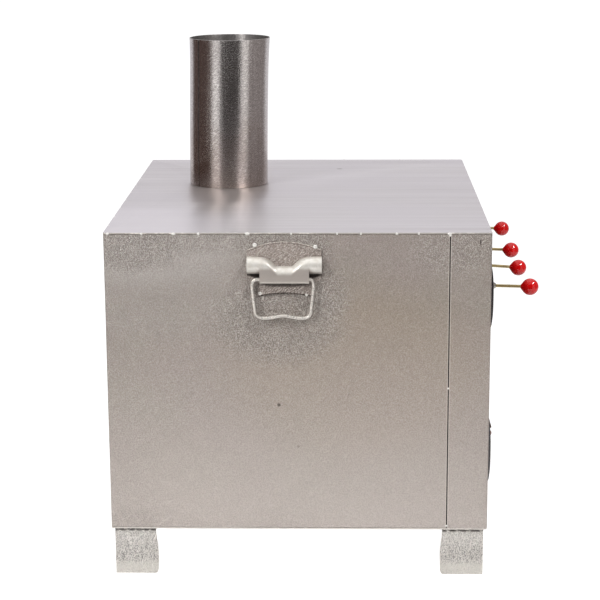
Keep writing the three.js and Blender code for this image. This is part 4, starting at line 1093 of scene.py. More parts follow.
def casing_wrap():
    shape = box_shape(Vector((WRAP_LOW.x, PAN_LOW.y, WRAP_LOW.z)), WRAP_HIGH)
    round_edges(shape, [e for e in edges_along(shape, 2) if e.verts[0].co.y > 0], CORNER, CORNER_STEPS)
    ends = [f for f in shape.faces if abs(f.normal.z) > FACING or f.normal.y < -FACING]
    bmesh.ops.delete(shape, geom=ends, context="FACES")
    slice_shape(shape, (0, WRAP_LOW.y, 0), (0, -1, 0), clear_outer=True)
    bmesh.ops.subdivide_edges(shape, edges=edges_along(shape, 2), cuts=WRAP_CUTS_UP, use_grid_fill=True)
    long_edges = [e for e in shape.edges if e.calc_length() > LONG_EDGE]
    bmesh.ops.subdivide_edges(shape, edges=long_edges, cuts=WRAP_CUTS_ALONG, use_grid_fill=True)
    buckle(shape, 2)
    add_piece("casing_wrap", shape, "cabinet", CABINET_PAINT, ["outer_wrap"],
              wall=SHEET, edge=SHEET_EDGE)


OPENING_SIDE = 2
OPENING_END = 2


def front_pan():
    shape = box_shape(PAN_LOW, PAN_HIGH)
    halfway = (PAN_LOW.y + PAN_HIGH.y) / 2
    round_edges(shape, [e for e in edges_along(shape, 2) if e.verts[0].co.y < halfway], CORNER,
                CORNER_STEPS)
    ends = [f for f in shape.faces if abs(f.normal.z) > FACING or f.normal.y > FACING]
    bmesh.ops.delete(shape, geom=ends, context="FACES")
    openings = []
    for row in ("roast", "charcoal"):
        for side, _ in SIDES:
            inner, outer = span(f"{row}_tray_{side}")
            openings.append((inner.x - OPENING_SIDE, outer.x + OPENING_SIDE,
                             inner.z - OPENING_END, outer.z + OPENING_END))
    for x0, x1, z0, z1 in openings:
        for place, across in (((x0, 0, 0), (1, 0, 0)), ((x1, 0, 0), (1, 0, 0)),
                              ((0, 0, z0), (0, 0, 1)), ((0, 0, z1), (0, 0, 1))):
            faces = [f for f in shape.faces if f.normal.y < -FACING]
            geometry = faces + list({e for f in faces for e in f.edges}) + list(
                {v for f in faces for v in f.verts})
            bmesh.ops.bisect_plane(shape, geom=geometry, plane_co=place, plane_no=across)
    inside = []
    for face in shape.faces:
        middle = face.calc_center_median()
        for x0, x1, z0, z1 in openings:
            if face.normal.y < -FACING and x0 < middle.x < x1 and z0 < middle.z < z1:
                inside.append(face)
    bmesh.ops.delete(shape, geom=inside, context="FACES")
    bmesh.ops.dissolve_limit(shape, angle_limit=math.radians(1), verts=shape.verts, edges=shape.edges)
    add_piece("front_pan", shape, "cabinet", CABINET_PAINT, ["front_panel"],
              wall=SHEET, edge=SHEET_EDGE)


def top_sheet():
    shape = merged_copy("top_panel")
    round_edges(shape, folded_edges(shape, 60), SHEET_EDGE, 3)
    flat = shape.loops.layers.uv.new(FLAT_MAP)
    for face in shape.faces:
        for loop in face.loops:
            loop[flat].uv = (loop.vert.co.x * MM, loop.vert.co.y * MM)
    add_piece("top_sheet", shape, "cabinet", SATIN_TOP, ["top_panel"], crease=60)


# Weld tacks along the top edge: where along the side, how long and how proud of the sheet
TOP_TACKS = (
    (214.7, 2.2, 1.0), (176.2, 1.4, 0.6), (140.0, 2.4, 1.2), (111.8, 1.6, 0.7), (56.4, 2.7, 1.2),
    (6.8, 1.2, 0.5), (-45.0, 1.0, 0.5), (-72.0, 1.2, 0.5), (-112.5, 1.6, 0.7), (-137.2, 1.1, 0.5),
    (-172.0, 2.6, 0.9),
)


# The right side's tacks lie at this share of the left side's places, the other way round
RIGHT_TACK_SHARE = -0.94
CORNER_ROOM = 4
BACK_TACKS = 9
BACK_TACK_FIRST = -230
BACK_TACK_STEP = 57


def edge_tacks():
    shape = bmesh.new()
    for side, sign in SIDES:
        for i, (y, length, proud) in enumerate(TOP_TACKS):
            place = y if side == "left" else y * RIGHT_TACK_SHARE
            if abs(place) > WRAP_HIGH.y - CORNER_ROOM:
                continue
            spot = (sign * (WRAP_HIGH.x - 0.3), place, TOP_LOW.z + 0.2)
            merge_into(shape, lump(spot, (proud, length, 1.5), i + sign))
    for i in range(BACK_TACKS):
        x = BACK_TACK_FIRST + BACK_TACK_STEP * i
        spot = (x, WRAP_HIGH.y - 1.2, TOP_LOW.z + 0.9)
        merge_into(shape, lump(spot, (2.2, 1.0, 1.0), i + 40))
    add_piece("top_edge_tacks", shape, "cabinet", TACK_SILVER, crease=80)


SEAM_TACK_HEIGHTS = (349.5, 171, 4.5)


def seam_tacks():
    shape = bmesh.new()
    for _, sign in SIDES:
        for i, z in enumerate(SEAM_TACK_HEIGHTS):
            spot = (sign * (WRAP_HIGH.x - 0.4), SEAM_Y, z)
            merge_into(shape, lump(spot, (0.9, 1.6, 1.1), i * 3 + sign))
    add_piece("seam_tacks", shape, "cabinet", TACK_SILVER, crease=80)


# ---------- Chimney ----------

PIPE_WALL = 0.7
PIPE_FACETS = 128
PIPE_ROWS = 19
PIPE_GROWTH = 0.45
RIM_ROUND = 0.2
RIM_DROP = 0.3
RIM_FLARE = 1.1
RIM_FLARE_HEIGHT = 50
LAP_PROUD = 0.35
LAP_FROM = 70
LAP_TO = 132
LAP_STEPS = 24
LAP_INSET = 0.2
LAP_SUNK = 0.1
LEAN_FOOT = 1.1
LEAN_SWAY = 3.3
LEAN_BEND = 1.6


def chimney():
    foot = PIPE_LOW.z
    height = PIPE_HIGH.z - foot
    plain = (PIPE_HIGH.x - PIPE_LOW.x) / 2 + PIPE_GROWTH

    def radius_at(z):
        high = max(0, 1 - (PIPE_HIGH.z - z) / RIM_FLARE_HEIGHT)
        return plain + RIM_FLARE * high * high

    levels = [foot + height * i / PIPE_ROWS for i in range(PIPE_ROWS + 1)]
    rim = PIPE_HIGH.z
    outside = [(radius_at(z), z) for z in levels[:-1]] + [(radius_at(rim), rim - RIM_DROP)]
    edge = [(radius_at(rim) - RIM_ROUND, rim), (radius_at(rim) - PIPE_WALL + RIM_ROUND, rim)]
    inside = [(radius_at(z) - PIPE_WALL, min(z, rim - RIM_DROP)) for z in reversed(levels)]
    shape = spin_shape(outside + edge + inside, PIPE_FACETS, closed=True)

    def lap_place(u, v):
        turn = math.radians(LAP_FROM + (LAP_TO - LAP_FROM) * u)
        z = foot + LAP_INSET + (height - LAP_INSET - RIM_DROP) * v
        reach = radius_at(z) + LAP_PROUD
        return Vector((reach * math.cos(turn), reach * math.sin(turn), z))

    lap = shaped_grid(LAP_STEPS, PIPE_ROWS, lap_place)
    bmesh.ops.recalc_face_normals(lap, faces=lap.faces)
    bmesh.ops.solidify(lap, geom=lap.faces, thickness=LAP_PROUD + LAP_SUNK)
    bmesh.ops.recalc_face_normals(lap, faces=lap.faces)
    merge_into(shape, lap)
    for vert in shape.verts:
        share = (vert.co.z - foot) / height
        vert.co.y += LEAN_FOOT - LEAN_SWAY * share ** LEAN_BEND
    bmesh.ops.translate(shape, vec=(PIPE_X, PIPE_Y, 0), verts=shape.verts)
    add_piece("flue_pipe", shape, "chimney", PIPE_STEEL, ["chimney_pipe"], crease=20)


# ---------- Legs ----------

LEG_FLANGE = 50
LEG_THICK = 5
LEG_TOP = -3.2
LEG_ROWS = 8
TOE_ROUND = 3.4
ROOT_ROUND = 4
FLANGE_ROUND = 2
LEG_EDGE = 0.8
LEG_SWELL = 0.022
LEG_TAPER = 0.035
LEG_PLAN = ((0, 0), (LEG_FLANGE, 0), (LEG_FLANGE, LEG_THICK), (LEG_THICK, LEG_THICK),
            (LEG_THICK, LEG_FLANGE), (0, LEG_FLANGE))
# Tacks that hold a leg: share of the flange and how far each runs along it
LEG_TACKS = ((0.07, 2.0), (0.31, 1.9), (0.58, 2.3), (0.83, 1.9))
BEAD_LUMPS = 9
BEAD_STEP = 5.2


def leg(node, seed):
    low, high = span(node)
    sign_x = -1 if low.x + high.x < 0 else 1
    sign_y = -1 if low.y + high.y < 0 else 1
    corner = Vector((high.x if sign_x > 0 else low.x, high.y if sign_y > 0 else low.y, low.z))
    shape = bmesh.new()
    face = shape.faces.new([shape.verts.new((x, y, 0)) for x, y in LEG_PLAN])
    stand = LEG_TOP - low.z
    step = stand / LEG_ROWS
    for _ in range(LEG_ROWS):
        raised = bmesh.ops.extrude_face_region(shape, geom=[face])["geom"]
        bmesh.ops.translate(shape, vec=(0, 0, step), verts=points_of(raised))
        face = next(item for item in raised if isinstance(item, bmesh.types.BMFace))
    bmesh.ops.recalc_face_normals(shape, faces=shape.faces)
    inner = [f for f in shape.faces
             if abs(f.normal.z) > FACING and 1 < f.calc_center_median().z < stand - 1]
    bmesh.ops.delete(shape, geom=inner, context="FACES_ONLY")

    def upright(x, y):
        return [e for e in edges_along(shape, 2) if (e.verts[0].co.xy - Vector((x, y))).length < 0.3]

    toes = [e for e in shape.edges if all(v.co.z < 0.1 and max(v.co.x, v.co.y) > LEG_FLANGE - 0.1
                                          and min(v.co.x, v.co.y) < LEG_THICK + 0.1 for v in e.verts)
            and e.calc_length() < LEG_THICK + 0.5]
    round_edges(shape, toes, TOE_ROUND, 4)
    round_edges(shape, upright(LEG_THICK, LEG_THICK), ROOT_ROUND, 4)
    round_edges(shape, upright(LEG_FLANGE, LEG_THICK) + upright(LEG_THICK, LEG_FLANGE), FLANGE_ROUND, 3)
    round_edges(shape, folded_edges(shape, 50), LEG_EDGE, 2)
    for vert in shape.verts:
        share = vert.co.z / stand
        swell = 1 + LEG_SWELL * math.sin(math.pi * min(share * 1.15, 1)) - LEG_TAPER * share ** 2
        rough = noise.noise_vector(vert.co * 0.09 + Vector((seed * 3.1, 0, 0))) * 0.35
        if vert.co.x > LEG_FLANGE * 0.5:
            vert.co.x = vert.co.x * swell + rough.x - 0.4
        if vert.co.y > LEG_FLANGE * 0.5:
            vert.co.y = vert.co.y * swell + rough.y - 0.4
    tacks = bmesh.new()
    for i, (share, reach) in enumerate(LEG_TACKS):
        merge_into(tacks, lump((share * LEG_FLANGE, 0.9, 55), (reach, 1.5, 2), seed + i))
        merge_into(tacks, lump((0.9, share * LEG_FLANGE, 55), (1.5, reach, 2), seed + i + 9))
    for i in range(BEAD_LUMPS):
        along = 4 + BEAD_STEP * i
        merge_into(tacks, lump((1.8, along, 55), (1.1, 3, 1.9), seed + i + 30))
        merge_into(tacks, lump((along, 1.8, 55), (3, 1.1, 1.9), seed + i + 50))
    merge_into(shape, tacks)
    bmesh.ops.scale(shape, vec=(-sign_x, -sign_y, 1), verts=shape.verts)
    bmesh.ops.translate(shape, vec=corner, verts=shape.verts)
    for vert in shape.verts:
        vert.co.z = min(max(vert.co.z, low.z), -0.3)
    bmesh.ops.recalc_face_normals(shape, faces=shape.faces)
    add_piece(node.replace("leg", "angle_leg"), shape, "cabinet", LEG_PAINT, [node],
              crease=50)


# ---------- Side handles, drawn with x out of the wall and z = 0 at the cabinet's top edge ----------

FIT = 0.3
PLATE_SHEET = 1
TAIL_BULGE = 1.3
SIDE_DROP = 52
NOTCH = 8
PLATE_STEPS = 24
SPOTS = ((-33.5, -14, 0.95), (35, -16, 0.95), (-28, -70, 0.85), (25, -71.6, 0.62))
BRACKET_HALF = 42.5
BRACKET_REACH = 11.5
BRACKET_WALL = FIT + PLATE_SHEET + FIT
BARREL_DROP = 37
BARREL_RISE = 10
DIP_TOP = 11
DIP_CREST = 10.5
TONGUE_HALF = 28
LIP_Z = -56.8
LIP_RADIUS = 3
LIP_RUN = 2.5
# How far the bracket's top edge and crest dip at shares of its half width
DIPS = ((0, 1, 1), (0.18, 1, 1), (0.25, 0.9, 0.96), (0.32, 0.58, 0.7), (0.4, 0.36, 0.25),
        (0.47, 0.22, 0.06), (0.58, 0.07, 0), (0.74, 0, 0), (1.01, 0, 0))


def dip_at(y):
    share = abs(y) / BRACKET_HALF
    for (at0, top0, crest0), (at1, top1, crest1) in zip(DIPS, DIPS[1:]):
        if share <= at1:
            mix = (share - at0) / (at1 - at0)
            return DIP_TOP * (top0 + (top1 - top0) * mix), DIP_CREST * (crest0 + (crest1 - crest0) * mix)
    return 0, 0


def hood_point(y, turn):
    """A point of the hood, from the wall at turn 0 to its crest at 90 degrees."""
    top, crest = (sum(dip_at(y + step)[k] for step in (-1.2, 0, 1.2)) / 3 for k in (0, 1))
    crest_z = -BARREL_DROP - crest
    rise = -BARREL_DROP + BARREL_RISE - top - crest_z
    reach = BRACKET_REACH - BRACKET_WALL
    return BRACKET_WALL + reach * math.sin(turn), crest_z + rise * math.cos(turn)


HOOD_ROWS = 12
LOWER_ROWS = 12


def strip_place(y0, y1, lower):
    """Where the points of one strip of the bracket go: the hood, then the given lower half."""
    def place(u, v):
        y = y0 + (y1 - y0) * u
        row = round(v * (HOOD_ROWS + LOWER_ROWS))
        if row <= HOOD_ROWS:
            x, z = hood_point(y, math.pi / 2 * row / HOOD_ROWS)
        else:
            x, z = lower(y, (row - HOOD_ROWS) / LOWER_ROWS)
        return Vector((x, y, z))
    return place


def barrel_point(_, share):
    turn = math.pi / 2 * share
    reach = BRACKET_REACH - BRACKET_WALL
    return BRACKET_WALL + reach * math.cos(turn), -BARREL_DROP - BARREL_RISE * math.sin(turn)


def tongue_point(y, share):
    """Down the tongue, round its lip and back under the bail's ends."""
    crest_z = hood_point(y, math.pi / 2)[1]
    bend_at = LIP_Z + LIP_RADIUS
    if share <= 0.5:
        return BRACKET_REACH, crest_z + (bend_at - crest_z) * share * 2
    turn = min((share - 0.5) / 0.4, 1) * math.pi / 2
    run = max(share - 0.9, 0) / 0.1 * LIP_RUN
    return BRACKET_REACH - LIP_RADIUS * (1 - math.cos(turn)) - run, bend_at - LIP_RADIUS * math.sin(turn)


def bracket_shape():
    rows = HOOD_ROWS + LOWER_ROWS
    shape = shaped_grid(56, rows, strip_place(-TONGUE_HALF, TONGUE_HALF, tongue_point))
    merge_into(shape, shaped_grid(15, rows, strip_place(-BRACKET_HALF, -TONGUE_HALF, barrel_point)))
    merge_into(shape, shaped_grid(15, rows, strip_place(TONGUE_HALF, BRACKET_HALF, barrel_point)))
    bmesh.ops.remove_doubles(shape, verts=shape.verts, dist=0.01)
    bmesh.ops.recalc_face_normals(shape, faces=shape.faces)
    if sum(f.normal.x for f in shape.faces) < 0:
        bmesh.ops.reverse_faces(shape, faces=shape.faces)
    return shape


def sagged(first, last, drop, bend):
    """Points from one end of a shallow arc to the other, bend being its control point's rise."""
    shares = [i / PLATE_STEPS for i in range(PLATE_STEPS + 1)]
    return [(first + (last - first) * t, -drop + 2 * bend * t * (1 - t)) for t in shares]


def plate_shape():
    outline = sagged(-PLATE_HALF, PLATE_HALF, SHOULDER_DROP, PLATE_RISE)
    outline += [(PLATE_HALF, -SIDE_DROP), (TAIL_HALF, -SIDE_DROP - NOTCH)]
    outline += sagged(TAIL_HALF, -TAIL_HALF, TAIL_DROP, TAIL_HOLLOW)
    outline += [(-TAIL_HALF, -SIDE_DROP - NOTCH), (-PLATE_HALF, -SIDE_DROP)]
    shape = bmesh.new()
    face = shape.faces.new([shape.verts.new((FIT, y, z)) for y, z in outline])
    raised = bmesh.ops.extrude_face_region(shape, geom=[face])["geom"]
    bmesh.ops.translate(shape, vec=(PLATE_SHEET, 0, 0), verts=points_of(raised))
    bmesh.ops.recalc_face_normals(shape, faces=shape.faces)
    front = [e for e in folded_edges(shape, 60) if all(v.co.x > FIT + 0.5 for v in e.verts)]
    round_edges(shape, front, 0.45, 2)
    for level in (SIDE_DROP + NOTCH, SIDE_DROP + NOTCH + 4, SIDE_DROP + NOTCH + 7):
        slice_shape(shape, (0, 0, -level), (0, 0, 1))
    for vert in shape.verts:
        down = min(max((-SIDE_DROP - NOTCH - vert.co.z) / 10, 0), 1)
        vert.co.x += TAIL_BULGE * down * max(1 - (vert.co.y / TAIL_HALF) ** 2, 0)
    return shape


SPOT_PROFILE = ((0, -0.3), (0.4, -0.1), (0.8, 0.9), (1.3, 1.3), (2.0, 1.0), (2.6, 0.2), (2.6, -0.8),
                (0, -0.8))


def spot_shape(y, z, size):
    """A weld spot: a low ring with a dimple in its middle."""
    shape = spin_shape([(radius * size, height) for radius, height in SPOT_PROFILE], 20)
    bmesh.ops.rotate(shape, cent=(0, 0, 0), matrix=Matrix.Rotation(math.pi / 2, 3, "Y"), verts=shape.verts)
    bmesh.ops.translate(shape, vec=(FIT + PLATE_SHEET, y, z), verts=shape.verts)
    return shape


BAIL_WIRE = 4.6
BAIL_REACH = 6.2
BAIL_DROP = 53
BAIL_SHIFT = 1.5
# One half of the bail as curve handles: start, two handles and end, in y and z from the pivot
BAIL_HALF = (
    ((16, 0), (20, 0), (26, 0), (30, 0)),
    ((30, 0), (33.3, 0), (35, -2.7), (35, -8)),
    ((35, -8), (34, -16), (33, -26), (32, -34)),
    ((32, -34), (32, -41.3), (28.7, -45), (22, -45)),
    ((22, -45), (11, -45), (7.3, -42.3), (0, -42.3)),
)
BAIL_STEPS = 14


def bezier(points, t):
    a, b, c, d = (Vector(p) for p in points)
    return a * (1 - t) ** 3 + b * 3 * t * (1 - t) ** 2 + c * 3 * t * t * (1 - t) + d * t ** 3


def bail_shape():
    line = [bezier(part, i / BAIL_STEPS) for part in BAIL_HALF for i in range(BAIL_STEPS)]
    line.append(Vector(BAIL_HALF[-1][-1]))
    line += [Vector((-p.x, p.y)) for p in reversed(line[:-1])]
    curve = bpy.data.curves.new("bail_line", "CURVE")
    curve.dimensions = "3D"
    curve.bevel_depth = BAIL_WIRE / 2
    curve.bevel_resolution = 8
    curve.use_fill_caps = True
    spline = curve.splines.new("POLY")
    spline.points.add(len(line) - 1)
    for point, (y, z) in zip(spline.points, line):
        point.co = (0, y, z, 1)
    holder = bpy.data.objects.new("bail_line", curve)
    mesh = bpy.data.meshes.new_from_object(holder)
    shape = bmesh.new()
    shape.from_mesh(mesh)
    bpy.data.objects.remove(holder)
    bpy.data.meshes.remove(mesh)
    bpy.data.curves.remove(curve)
    bmesh.ops.remove_doubles(shape, verts=shape.verts, dist=0.001)
    bmesh.ops.recalc_face_normals(shape, faces=shape.faces)
    return shape


def side_handle(side, sign):
    turn = Matrix.Rotation(math.pi, 4, "Z") if sign < 0 else Matrix.Identity(4)
    home = Matrix.Translation((sign * WRAP_HIGH.x, HANDLE_Y, TOP_HIGH.z)) @ turn
    plate = plate_shape()
    plate.transform(home)
    add_piece(f"welded_plate_{side}", plate, "cabinet", PLATE_PAINT,
              [f"handle_plate_{side}"])
    spots = bmesh.new()
    for y, z, size in SPOTS:
        merge_into(spots, spot_shape(y, z, size))
    spots.transform(home)
    add_piece(f"plate_spots_{side}", spots, "cabinet", TACK_SILVER, crease=80)
    bracket = bracket_shape()
    bracket.transform(home)
    add_piece(f"pressed_bracket_{side}", bracket, "cabinet", BRACKET_SILVER,
              [f"handle_bracket_{side}"], crease=60, wall=SHEET, edge=SHEET_EDGE)
    bail = bail_shape()
    shift = -BAIL_SHIFT if side == "left" else BAIL_SHIFT
    bmesh.ops.translate(bail, vec=(BAIL_REACH, shift, -BAIL_DROP), verts=bail.verts)
    bail.transform(home)
    add_piece(f"wire_bail_{side}", bail, f"bail_{side}", BAIL_SILVER,
              [f"handle_bail_{side}"], crease=60)


# ---------- Drawers ----------

FRONT_CORNER = 4
FRONT_CROWN = 2.5
FRONT_SLICES = 20


def crown_at(low, high, z):
    """How far a drawer front's pressed face falls back from its middle height."""
    share = abs(2 * z - low.z - high.z) / (high.z - low.z)
    return FRONT_CROWN * share ** 3


def drawer_front(row, side):
    node = f"{row}_front_{side}"
    low, high = span(node)
    shape = box_shape(low, high)
    round_edges(shape, edges_along(shape, 1), FRONT_CORNER, 6)
    rim = [e for e in folded_edges(shape, 60) if all(v.co.y < low.y + 0.1 for v in e.verts)]
    round_edges(shape, rim, 1.1, 4)
    for i in range(1, FRONT_SLICES):
        level = low.z + (high.z - low.z) * i / FRONT_SLICES
        slice_shape(shape, (0, 0, level), (0, 0, 1))
    for vert in shape.verts:
        share = (high.y - vert.co.y) / (high.y - low.y)
        vert.co.y += share * crown_at(low, high, vert.co.z)
    add_piece(f"{row}_front_plate_{side}", shape, f"{row}_drawer_{side}", BLACK_ENAMEL,
              [node])


TRAY_WALL = 1.2
TRAY_HEM = 4
TRAY_HEM_DROP = 2.6


def drawer_tray(row, side, material):
    node = f"{row}_tray_{side}"
    low, high = span(node)
    shape = box_shape(low, high)
    lid = [f for f in shape.faces if f.normal.z > FACING]
    bmesh.ops.delete(shape, geom=lid, context="FACES")
    corners = edges_along(shape, 2) + [e for e in shape.edges if all(v.co.z < low.z + 0.1 for v in e.verts)]
    round_edges(shape, set(corners), 2, 3)
    middle = (low + high) / 2
    rim = [e for e in shape.edges if e.is_boundary]
    share = (1 - 2 * TRAY_HEM / (high.x - low.x), 1 - 2 * TRAY_HEM / (high.y - low.y), 1)
    over = bmesh.ops.extrude_edge_only(shape, edges=rim)["geom"]
    over_verts = points_of(over)
    bmesh.ops.scale(shape, vec=share, verts=over_verts, space=Matrix.Translation(-middle))
    down = bmesh.ops.extrude_edge_only(shape, edges=edges_of(over))["geom"]
    bmesh.ops.translate(shape, vec=(0, 0, -TRAY_HEM_DROP), verts=points_of(down))
    bmesh.ops.recalc_face_normals(shape, faces=shape.faces)
    floor = min(shape.faces, key=lambda f: f.calc_center_median().z)
    if floor.normal.z > 0:
        bmesh.ops.reverse_faces(shape, faces=shape.faces)
    add_piece(f"{row}_pan_{side}", shape, f"{row}_drawer_{side}", material, [node],
              wall=TRAY_WALL, edge=0.3)


ROD_DROOPS = {"left_outer": 0.9, "left_inner": 3.3, "right_inner": 1.5, "right_outer": 1.0}
ROD_SAG = 0.6
KNOB_DROP = 0.3
ROD_RADIUS = 1.85
KNOB_REACH = 51.5
KNOB_RADIUS = 10
NECK_RADIUS = 2.3
NECK_REACH = 13
NECK_LENGTH = 11.3
NECK_TURN = 38
NECK_ROUND = 0.4
KNOB_STEPS = 36
KNOB_FACETS = 48
ROD_FACETS = 24
ROD_IN_KNOB = 8
# Radius and height of the rod's head behind the tray's wall, and of the nut on the front
ROD_HEAD = ((0, -2.4), (3.4, -2.4), (4, -1.8), (4, 0))
CONE_NUT = ((2.2, FIT), (4.3, FIT), (4.6, 0.7), (4.6, 2.4), (4.2, 3.2), (3.1, 5.8), (2.7, 6.2),
            (2.2, 6.2))
NUT_FACETS = 32


def rod_handle(label):
    side = label.split("_")[0]
    body = f"roast_drawer_{side}"
    face = span(f"roast_front_{side}")[0].y
    nut_low, nut_high = span(f"rod_collar_{label}")
    middle = (nut_low + nut_high) / 2
    depth = span(f"roast_front_{side}")[1].y - face + FIT
    pull = KNOB_REACH - depth
    foot = Matrix.Translation((middle.x, face, middle.z))
    home = foot @ Matrix.Rotation(math.radians(90 + ROD_DROOPS[label] + ROD_SAG), 4, "X")
    tip = pull - NECK_REACH + ROD_IN_KNOB
    back = depth + FIT + TRAY_WALL + FIT
    head = [(radius, height - back) for radius, height in ROD_HEAD]
    rod = spin_shape(head + [(ROD_RADIUS, -back), (ROD_RADIUS, tip), (0, tip)], ROD_FACETS)
    rod.transform(home)
    add_piece(f"pull_rod_{label}", rod, body, ROD_ZINC, [f"handle_rod_{label}"], crease=40)
    neck = pull - NECK_LENGTH
    profile = [(0, neck + 0.2), (NECK_RADIUS - NECK_ROUND, neck), (NECK_RADIUS, neck + NECK_ROUND)]
    for i in range(KNOB_STEPS):
        turn = math.radians(NECK_TURN + (180 - NECK_TURN) * i / KNOB_STEPS)
        profile.append((KNOB_RADIUS * math.sin(turn), pull - KNOB_RADIUS * math.cos(turn)))
    profile.append((0, pull + KNOB_RADIUS))
    knob = spin_shape(profile, KNOB_FACETS)
    knob.transform(home)
    bmesh.ops.translate(knob, vec=(0, 0, -KNOB_DROP), verts=knob.verts)
    ball = add_piece(f"red_ball_{label}", knob, body, BALL_RED, [f"ball_knob_{label}"],
                     crease=60)
    nut = spin_shape(CONE_NUT, NUT_FACETS, closed=True)
    nut.transform(foot @ TO_FRONT)
    add_piece(f"cone_nut_{label}", nut, body, NUT_STEEL, [f"rod_collar_{label}"], crease=50)
    return ball


SCREW_INSET = 7
SCREW_DROP = 16
SCREW_FACETS = 24
SCREW_HEAD = ((0, 1.5), (1.1, 1.4), (2.2, 1.0), (2.9, 0.3), (3.0, -0.2), (0, -0.2))


def front_screws(side):
    low, high = span(f"charcoal_front_{side}")
    level = high.z - SCREW_DROP
    face = low.y + crown_at(low, high, level)
    shape = bmesh.new()
    for x in (low.x + SCREW_INSET, high.x - SCREW_INSET):
        head = spin_shape(SCREW_HEAD, SCREW_FACETS)
        head.transform(Matrix.Translation((x, face, level)) @ TO_FRONT)
        merge_into(shape, head)
    add_piece(f"front_screws_{side}", shape, f"charcoal_drawer_{side}", SCREW_STEEL, crease=60)


# ---------- Inside ----------

CHAMBER_PIECES = ["chamber_liner", "centre_divider"] + [
    f"{row}_runner_{side}_{place}"
    for row in ("roast", "charcoal") for side, _ in SIDES for place in ("outer", "inner")]
WOOL_PIECES = [f"insulation_{place}" for place in ("left", "right", "back", "top", "bottom")]


def inside_pieces():
    for node in CHAMBER_PIECES:
        soften(node, f"soft_{node}", "cabinet", CHAMBER_SHEET, 0.25)
    for node in WOOL_PIECES:
        soften(node, f"board_{node}", "cabinet", WOOL_BOARD, 2.0, 3)
    for side, _ in SIDES:
        soften(f"flame_spreader_{side}", f"spreader_sheet_{side}", "cabinet", FIRE_IRON, 0.3)
        soften(f"charcoal_grate_{side}", f"cast_grate_{side}", f"charcoal_drawer_{side}",
               FIRE_IRON, 0.8, 3)
        soften(f"charcoal_pull_{side}", f"folded_pull_{side}", f"charcoal_drawer_{side}",
               PULL_IRON, 0.4, 3)
    soften("flue_collar", "flue_spigot", "cabinet", CHAMBER_SHEET, 0.3)
    soften("bottom_panel", "underside_sheet", "cabinet", CABINET_PAINT, 0.4)


# ---------- Studio ----------

FLOOR_HALF = 12
FLOOR_LIFT = 0.82


def seen_studio(tree):
    """1 for the rays that see the studio: the camera's own, and those by way of gloss or glass."""
    path = tree.nodes.new("ShaderNodeLightPath").outputs
    seen = maths(tree, "MAXIMUM", path["Is Camera Ray"], path["Is Glossy Ray"])
    return maths(tree, "MAXIMUM", seen, path["Is Transmission Ray"])


def plain_floor():
    material, tree, shader, _ = new_finish("pale_floor", roughness=1.0)
    shader.inputs["Base Color"].default_value = (0.6, 0.6, 0.6, 1)
    shader.inputs["Specular IOR Level"].default_value = 0.0
    shader.inputs["Emission Color"].default_value = (1, 1, 1, 1)
    feed(tree, shader.inputs["Emission Strength"], product(tree, seen_studio(tree), FLOOR_LIFT))
    mesh = bpy.data.meshes.new("studio_floor")
    shape = bmesh.new()
    bmesh.ops.create_grid(shape, x_segments=1, y_segments=1, size=FLOOR_HALF)
    shape.to_mesh(mesh)
    shape.free()
    mesh.materials.append(material)
    floor = bpy.data.objects.new("studio_floor", mesh)
    bpy.context.scene.collection.objects.link(floor)


WORLD_LEVEL = 0.42


def studio_air():
    world = bpy.data.worlds.new("studio_air")
    bpy.context.scene.world = world
    world.use_nodes = True
    tree = world.node_tree
    air = tree.nodes["Background"]
    air.inputs["Color"].default_value = (1, 1, 1, 1)
    feed(tree, air.inputs["Strength"],
         remap(tree, seen_studio(tree), 0, 1, WORLD_LEVEL, 1.0, smooth=False))


# Softboxes: name, place, what it points at, width, height and watts
SOFTBOXES = (
    ("front_softbox", (-1.25, -1.12, 1.8), (-0.2, -0.2, 0.35), 0.5, 0.5, 15.5),
    ("side_softbox", (-1.55, 1.25, 1.25), (-0.2, 0.0, 0.2), 0.35, 0.35, 17.5),
    ("top_softbox", (0.2, 0.1, 2.4), (0.0, 0.0, 0.3), 1.6, 1.6, 5.0),
)
GLINT_SOFTBOX = ("glint_softbox", (-0.6, -1.5, 1.79), (-0.18, -0.24, 0.37), 0.85, 0.85, 70.0)


def softbox(name, place, target, width, height, watts):
    data = bpy.data.lights.new(name, "AREA")
    data.shape = "RECTANGLE"
    data.size = width
    data.size_y = height
    data.energy = watts
    lamp = bpy.data.objects.new(name, data)
    aim = (Vector(target) - Vector(place)).to_track_quat("-Z", "Y")
    lamp.matrix_world = Matrix.Translation(place) @ aim.to_matrix().to_4x4()
    lamp.visible_camera = False
    bpy.context.scene.collection.objects.link(lamp)
    return lamp


def knob_glint(knobs):
    """The studio light's glint on the knobs, which lights nothing else."""
    lamp = softbox(*GLINT_SOFTBOX)
    lamp.visible_diffuse = False
    shown = bpy.data.collections.new("glossy_knobs")
    for knob in knobs:
        shown.objects.link(knob)
    lamp.light_linking.receiver_collection = shown


# Cards that only show in reflections: angle from -x towards -y in degrees, and the card's colour
CARD_RADIUS = 1.4
CARD_HEIGHT = 1.3
CARDS = (
    (-180, (0.85, 0.83, 0.86)), (-127, (0.12, 0.082, 0.072)), (-50, (1.0, 0.98, 0.97)),
    (-26, (0.078, 0.072, 0.07)), (36.5, (1.14, 1.12, 1.1)), (58, (0.36, 0.325, 0.32)),
    (130, (0.85, 0.83, 0.86)),
)


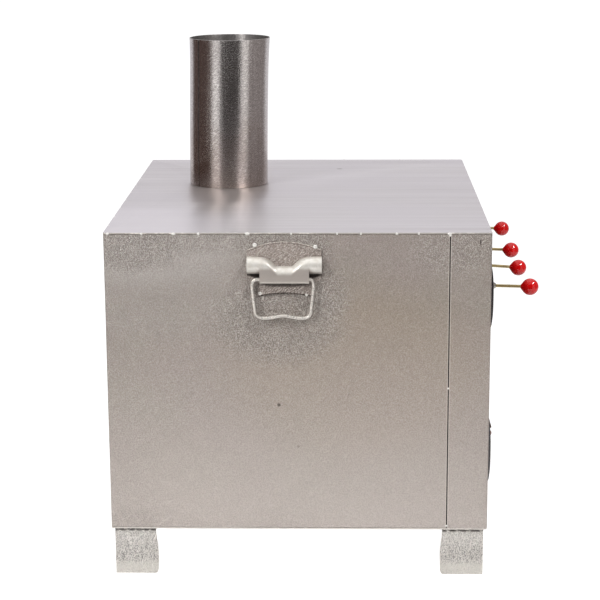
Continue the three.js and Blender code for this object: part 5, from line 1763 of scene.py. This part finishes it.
def studio_cards():
    """A ring of grey and white cards round the object, seen only in reflections."""
    material = bpy.data.materials.new("studio_card")
    material.use_nodes = True
    tree = material.node_tree
    tree.nodes.clear()
    point = tree.nodes.new("ShaderNodeTexCoord").outputs["Object"]
    centred = vectors(tree, "SUBTRACT", point, in_frame(PIPE_X, PIPE_Y, 0))
    axes = add_node(tree, "SeparateXYZ", None, Vector=centred).outputs
    away = product(tree, axes["X"], -1.0)
    across = product(tree, axes["Y"], -1.0)
    turn = maths(tree, "ARCTAN2", across, away)
    share = remap(tree, turn, -math.pi, math.pi, 0.0, 1.0, smooth=False)
    ramp = tree.nodes.new("ShaderNodeValToRGB")
    ramp.color_ramp.interpolation = "CONSTANT"
    stops = ramp.color_ramp.elements
    while len(stops) < len(CARDS):
        stops.new(1.0)
    for stop, (angle, shade) in zip(stops, CARDS):
        stop.position = (angle + 180) / 360
        stop.color = (*shade, 1)
    feed(tree, ramp.inputs["Fac"], share)
    glow = add_node(tree, "Emission", None, Color=ramp.outputs["Color"])
    output = tree.nodes.new("ShaderNodeOutputMaterial")
    tree.links.new(glow.outputs["Emission"], output.inputs["Surface"])
    shape = bmesh.new()
    bmesh.ops.create_circle(shape, segments=96, radius=CARD_RADIUS, cap_ends=False)
    raised = bmesh.ops.extrude_edge_only(shape, edges=shape.edges)["geom"]
    bmesh.ops.translate(shape, vec=(0, 0, CARD_HEIGHT), verts=points_of(raised))
    centre = in_frame(PIPE_X, PIPE_Y, 0)
    bmesh.ops.translate(shape, vec=(centre.x, centre.y, 0.002), verts=shape.verts)
    mesh = bpy.data.meshes.new("studio_cards")
    shape.to_mesh(mesh)
    shape.free()
    mesh.materials.append(material)
    cards = bpy.data.objects.new("studio_cards", mesh)
    bpy.context.scene.collection.objects.link(cards)
    cards.visible_camera = False
    cards.visible_diffuse = False
    cards.visible_transmission = False
    cards.visible_volume_scatter = False
    cards.visible_shadow = False


# ---------- Build ----------

place_camera()
plain_floor()
studio_air()
for softbox_values in SOFTBOXES:
    softbox(*softbox_values)
studio_cards()
bpy.context.scene.view_settings.view_transform = "Standard"

casing_wrap()
front_pan()
top_sheet()
edge_tacks()
seam_tacks()
chimney()
for leg_seed, leg_place in enumerate(("back_left", "front_left", "front_right", "back_right")):
    leg(f"leg_{leg_place}", leg_seed * 20)
for handle_side, handle_sign in SIDES:
    side_handle(handle_side, handle_sign)
for drawer_side, _ in SIDES:
    drawer_front("roast", drawer_side)
    drawer_front("charcoal", drawer_side)
    drawer_tray("roast", drawer_side, ROAST_SHEET)
    drawer_tray("charcoal", drawer_side, CHARCOAL_SHEET)
    front_screws(drawer_side)
knob_glint([rod_handle(rod_label) for rod_label in ROD_DROOPS])
inside_pieces()
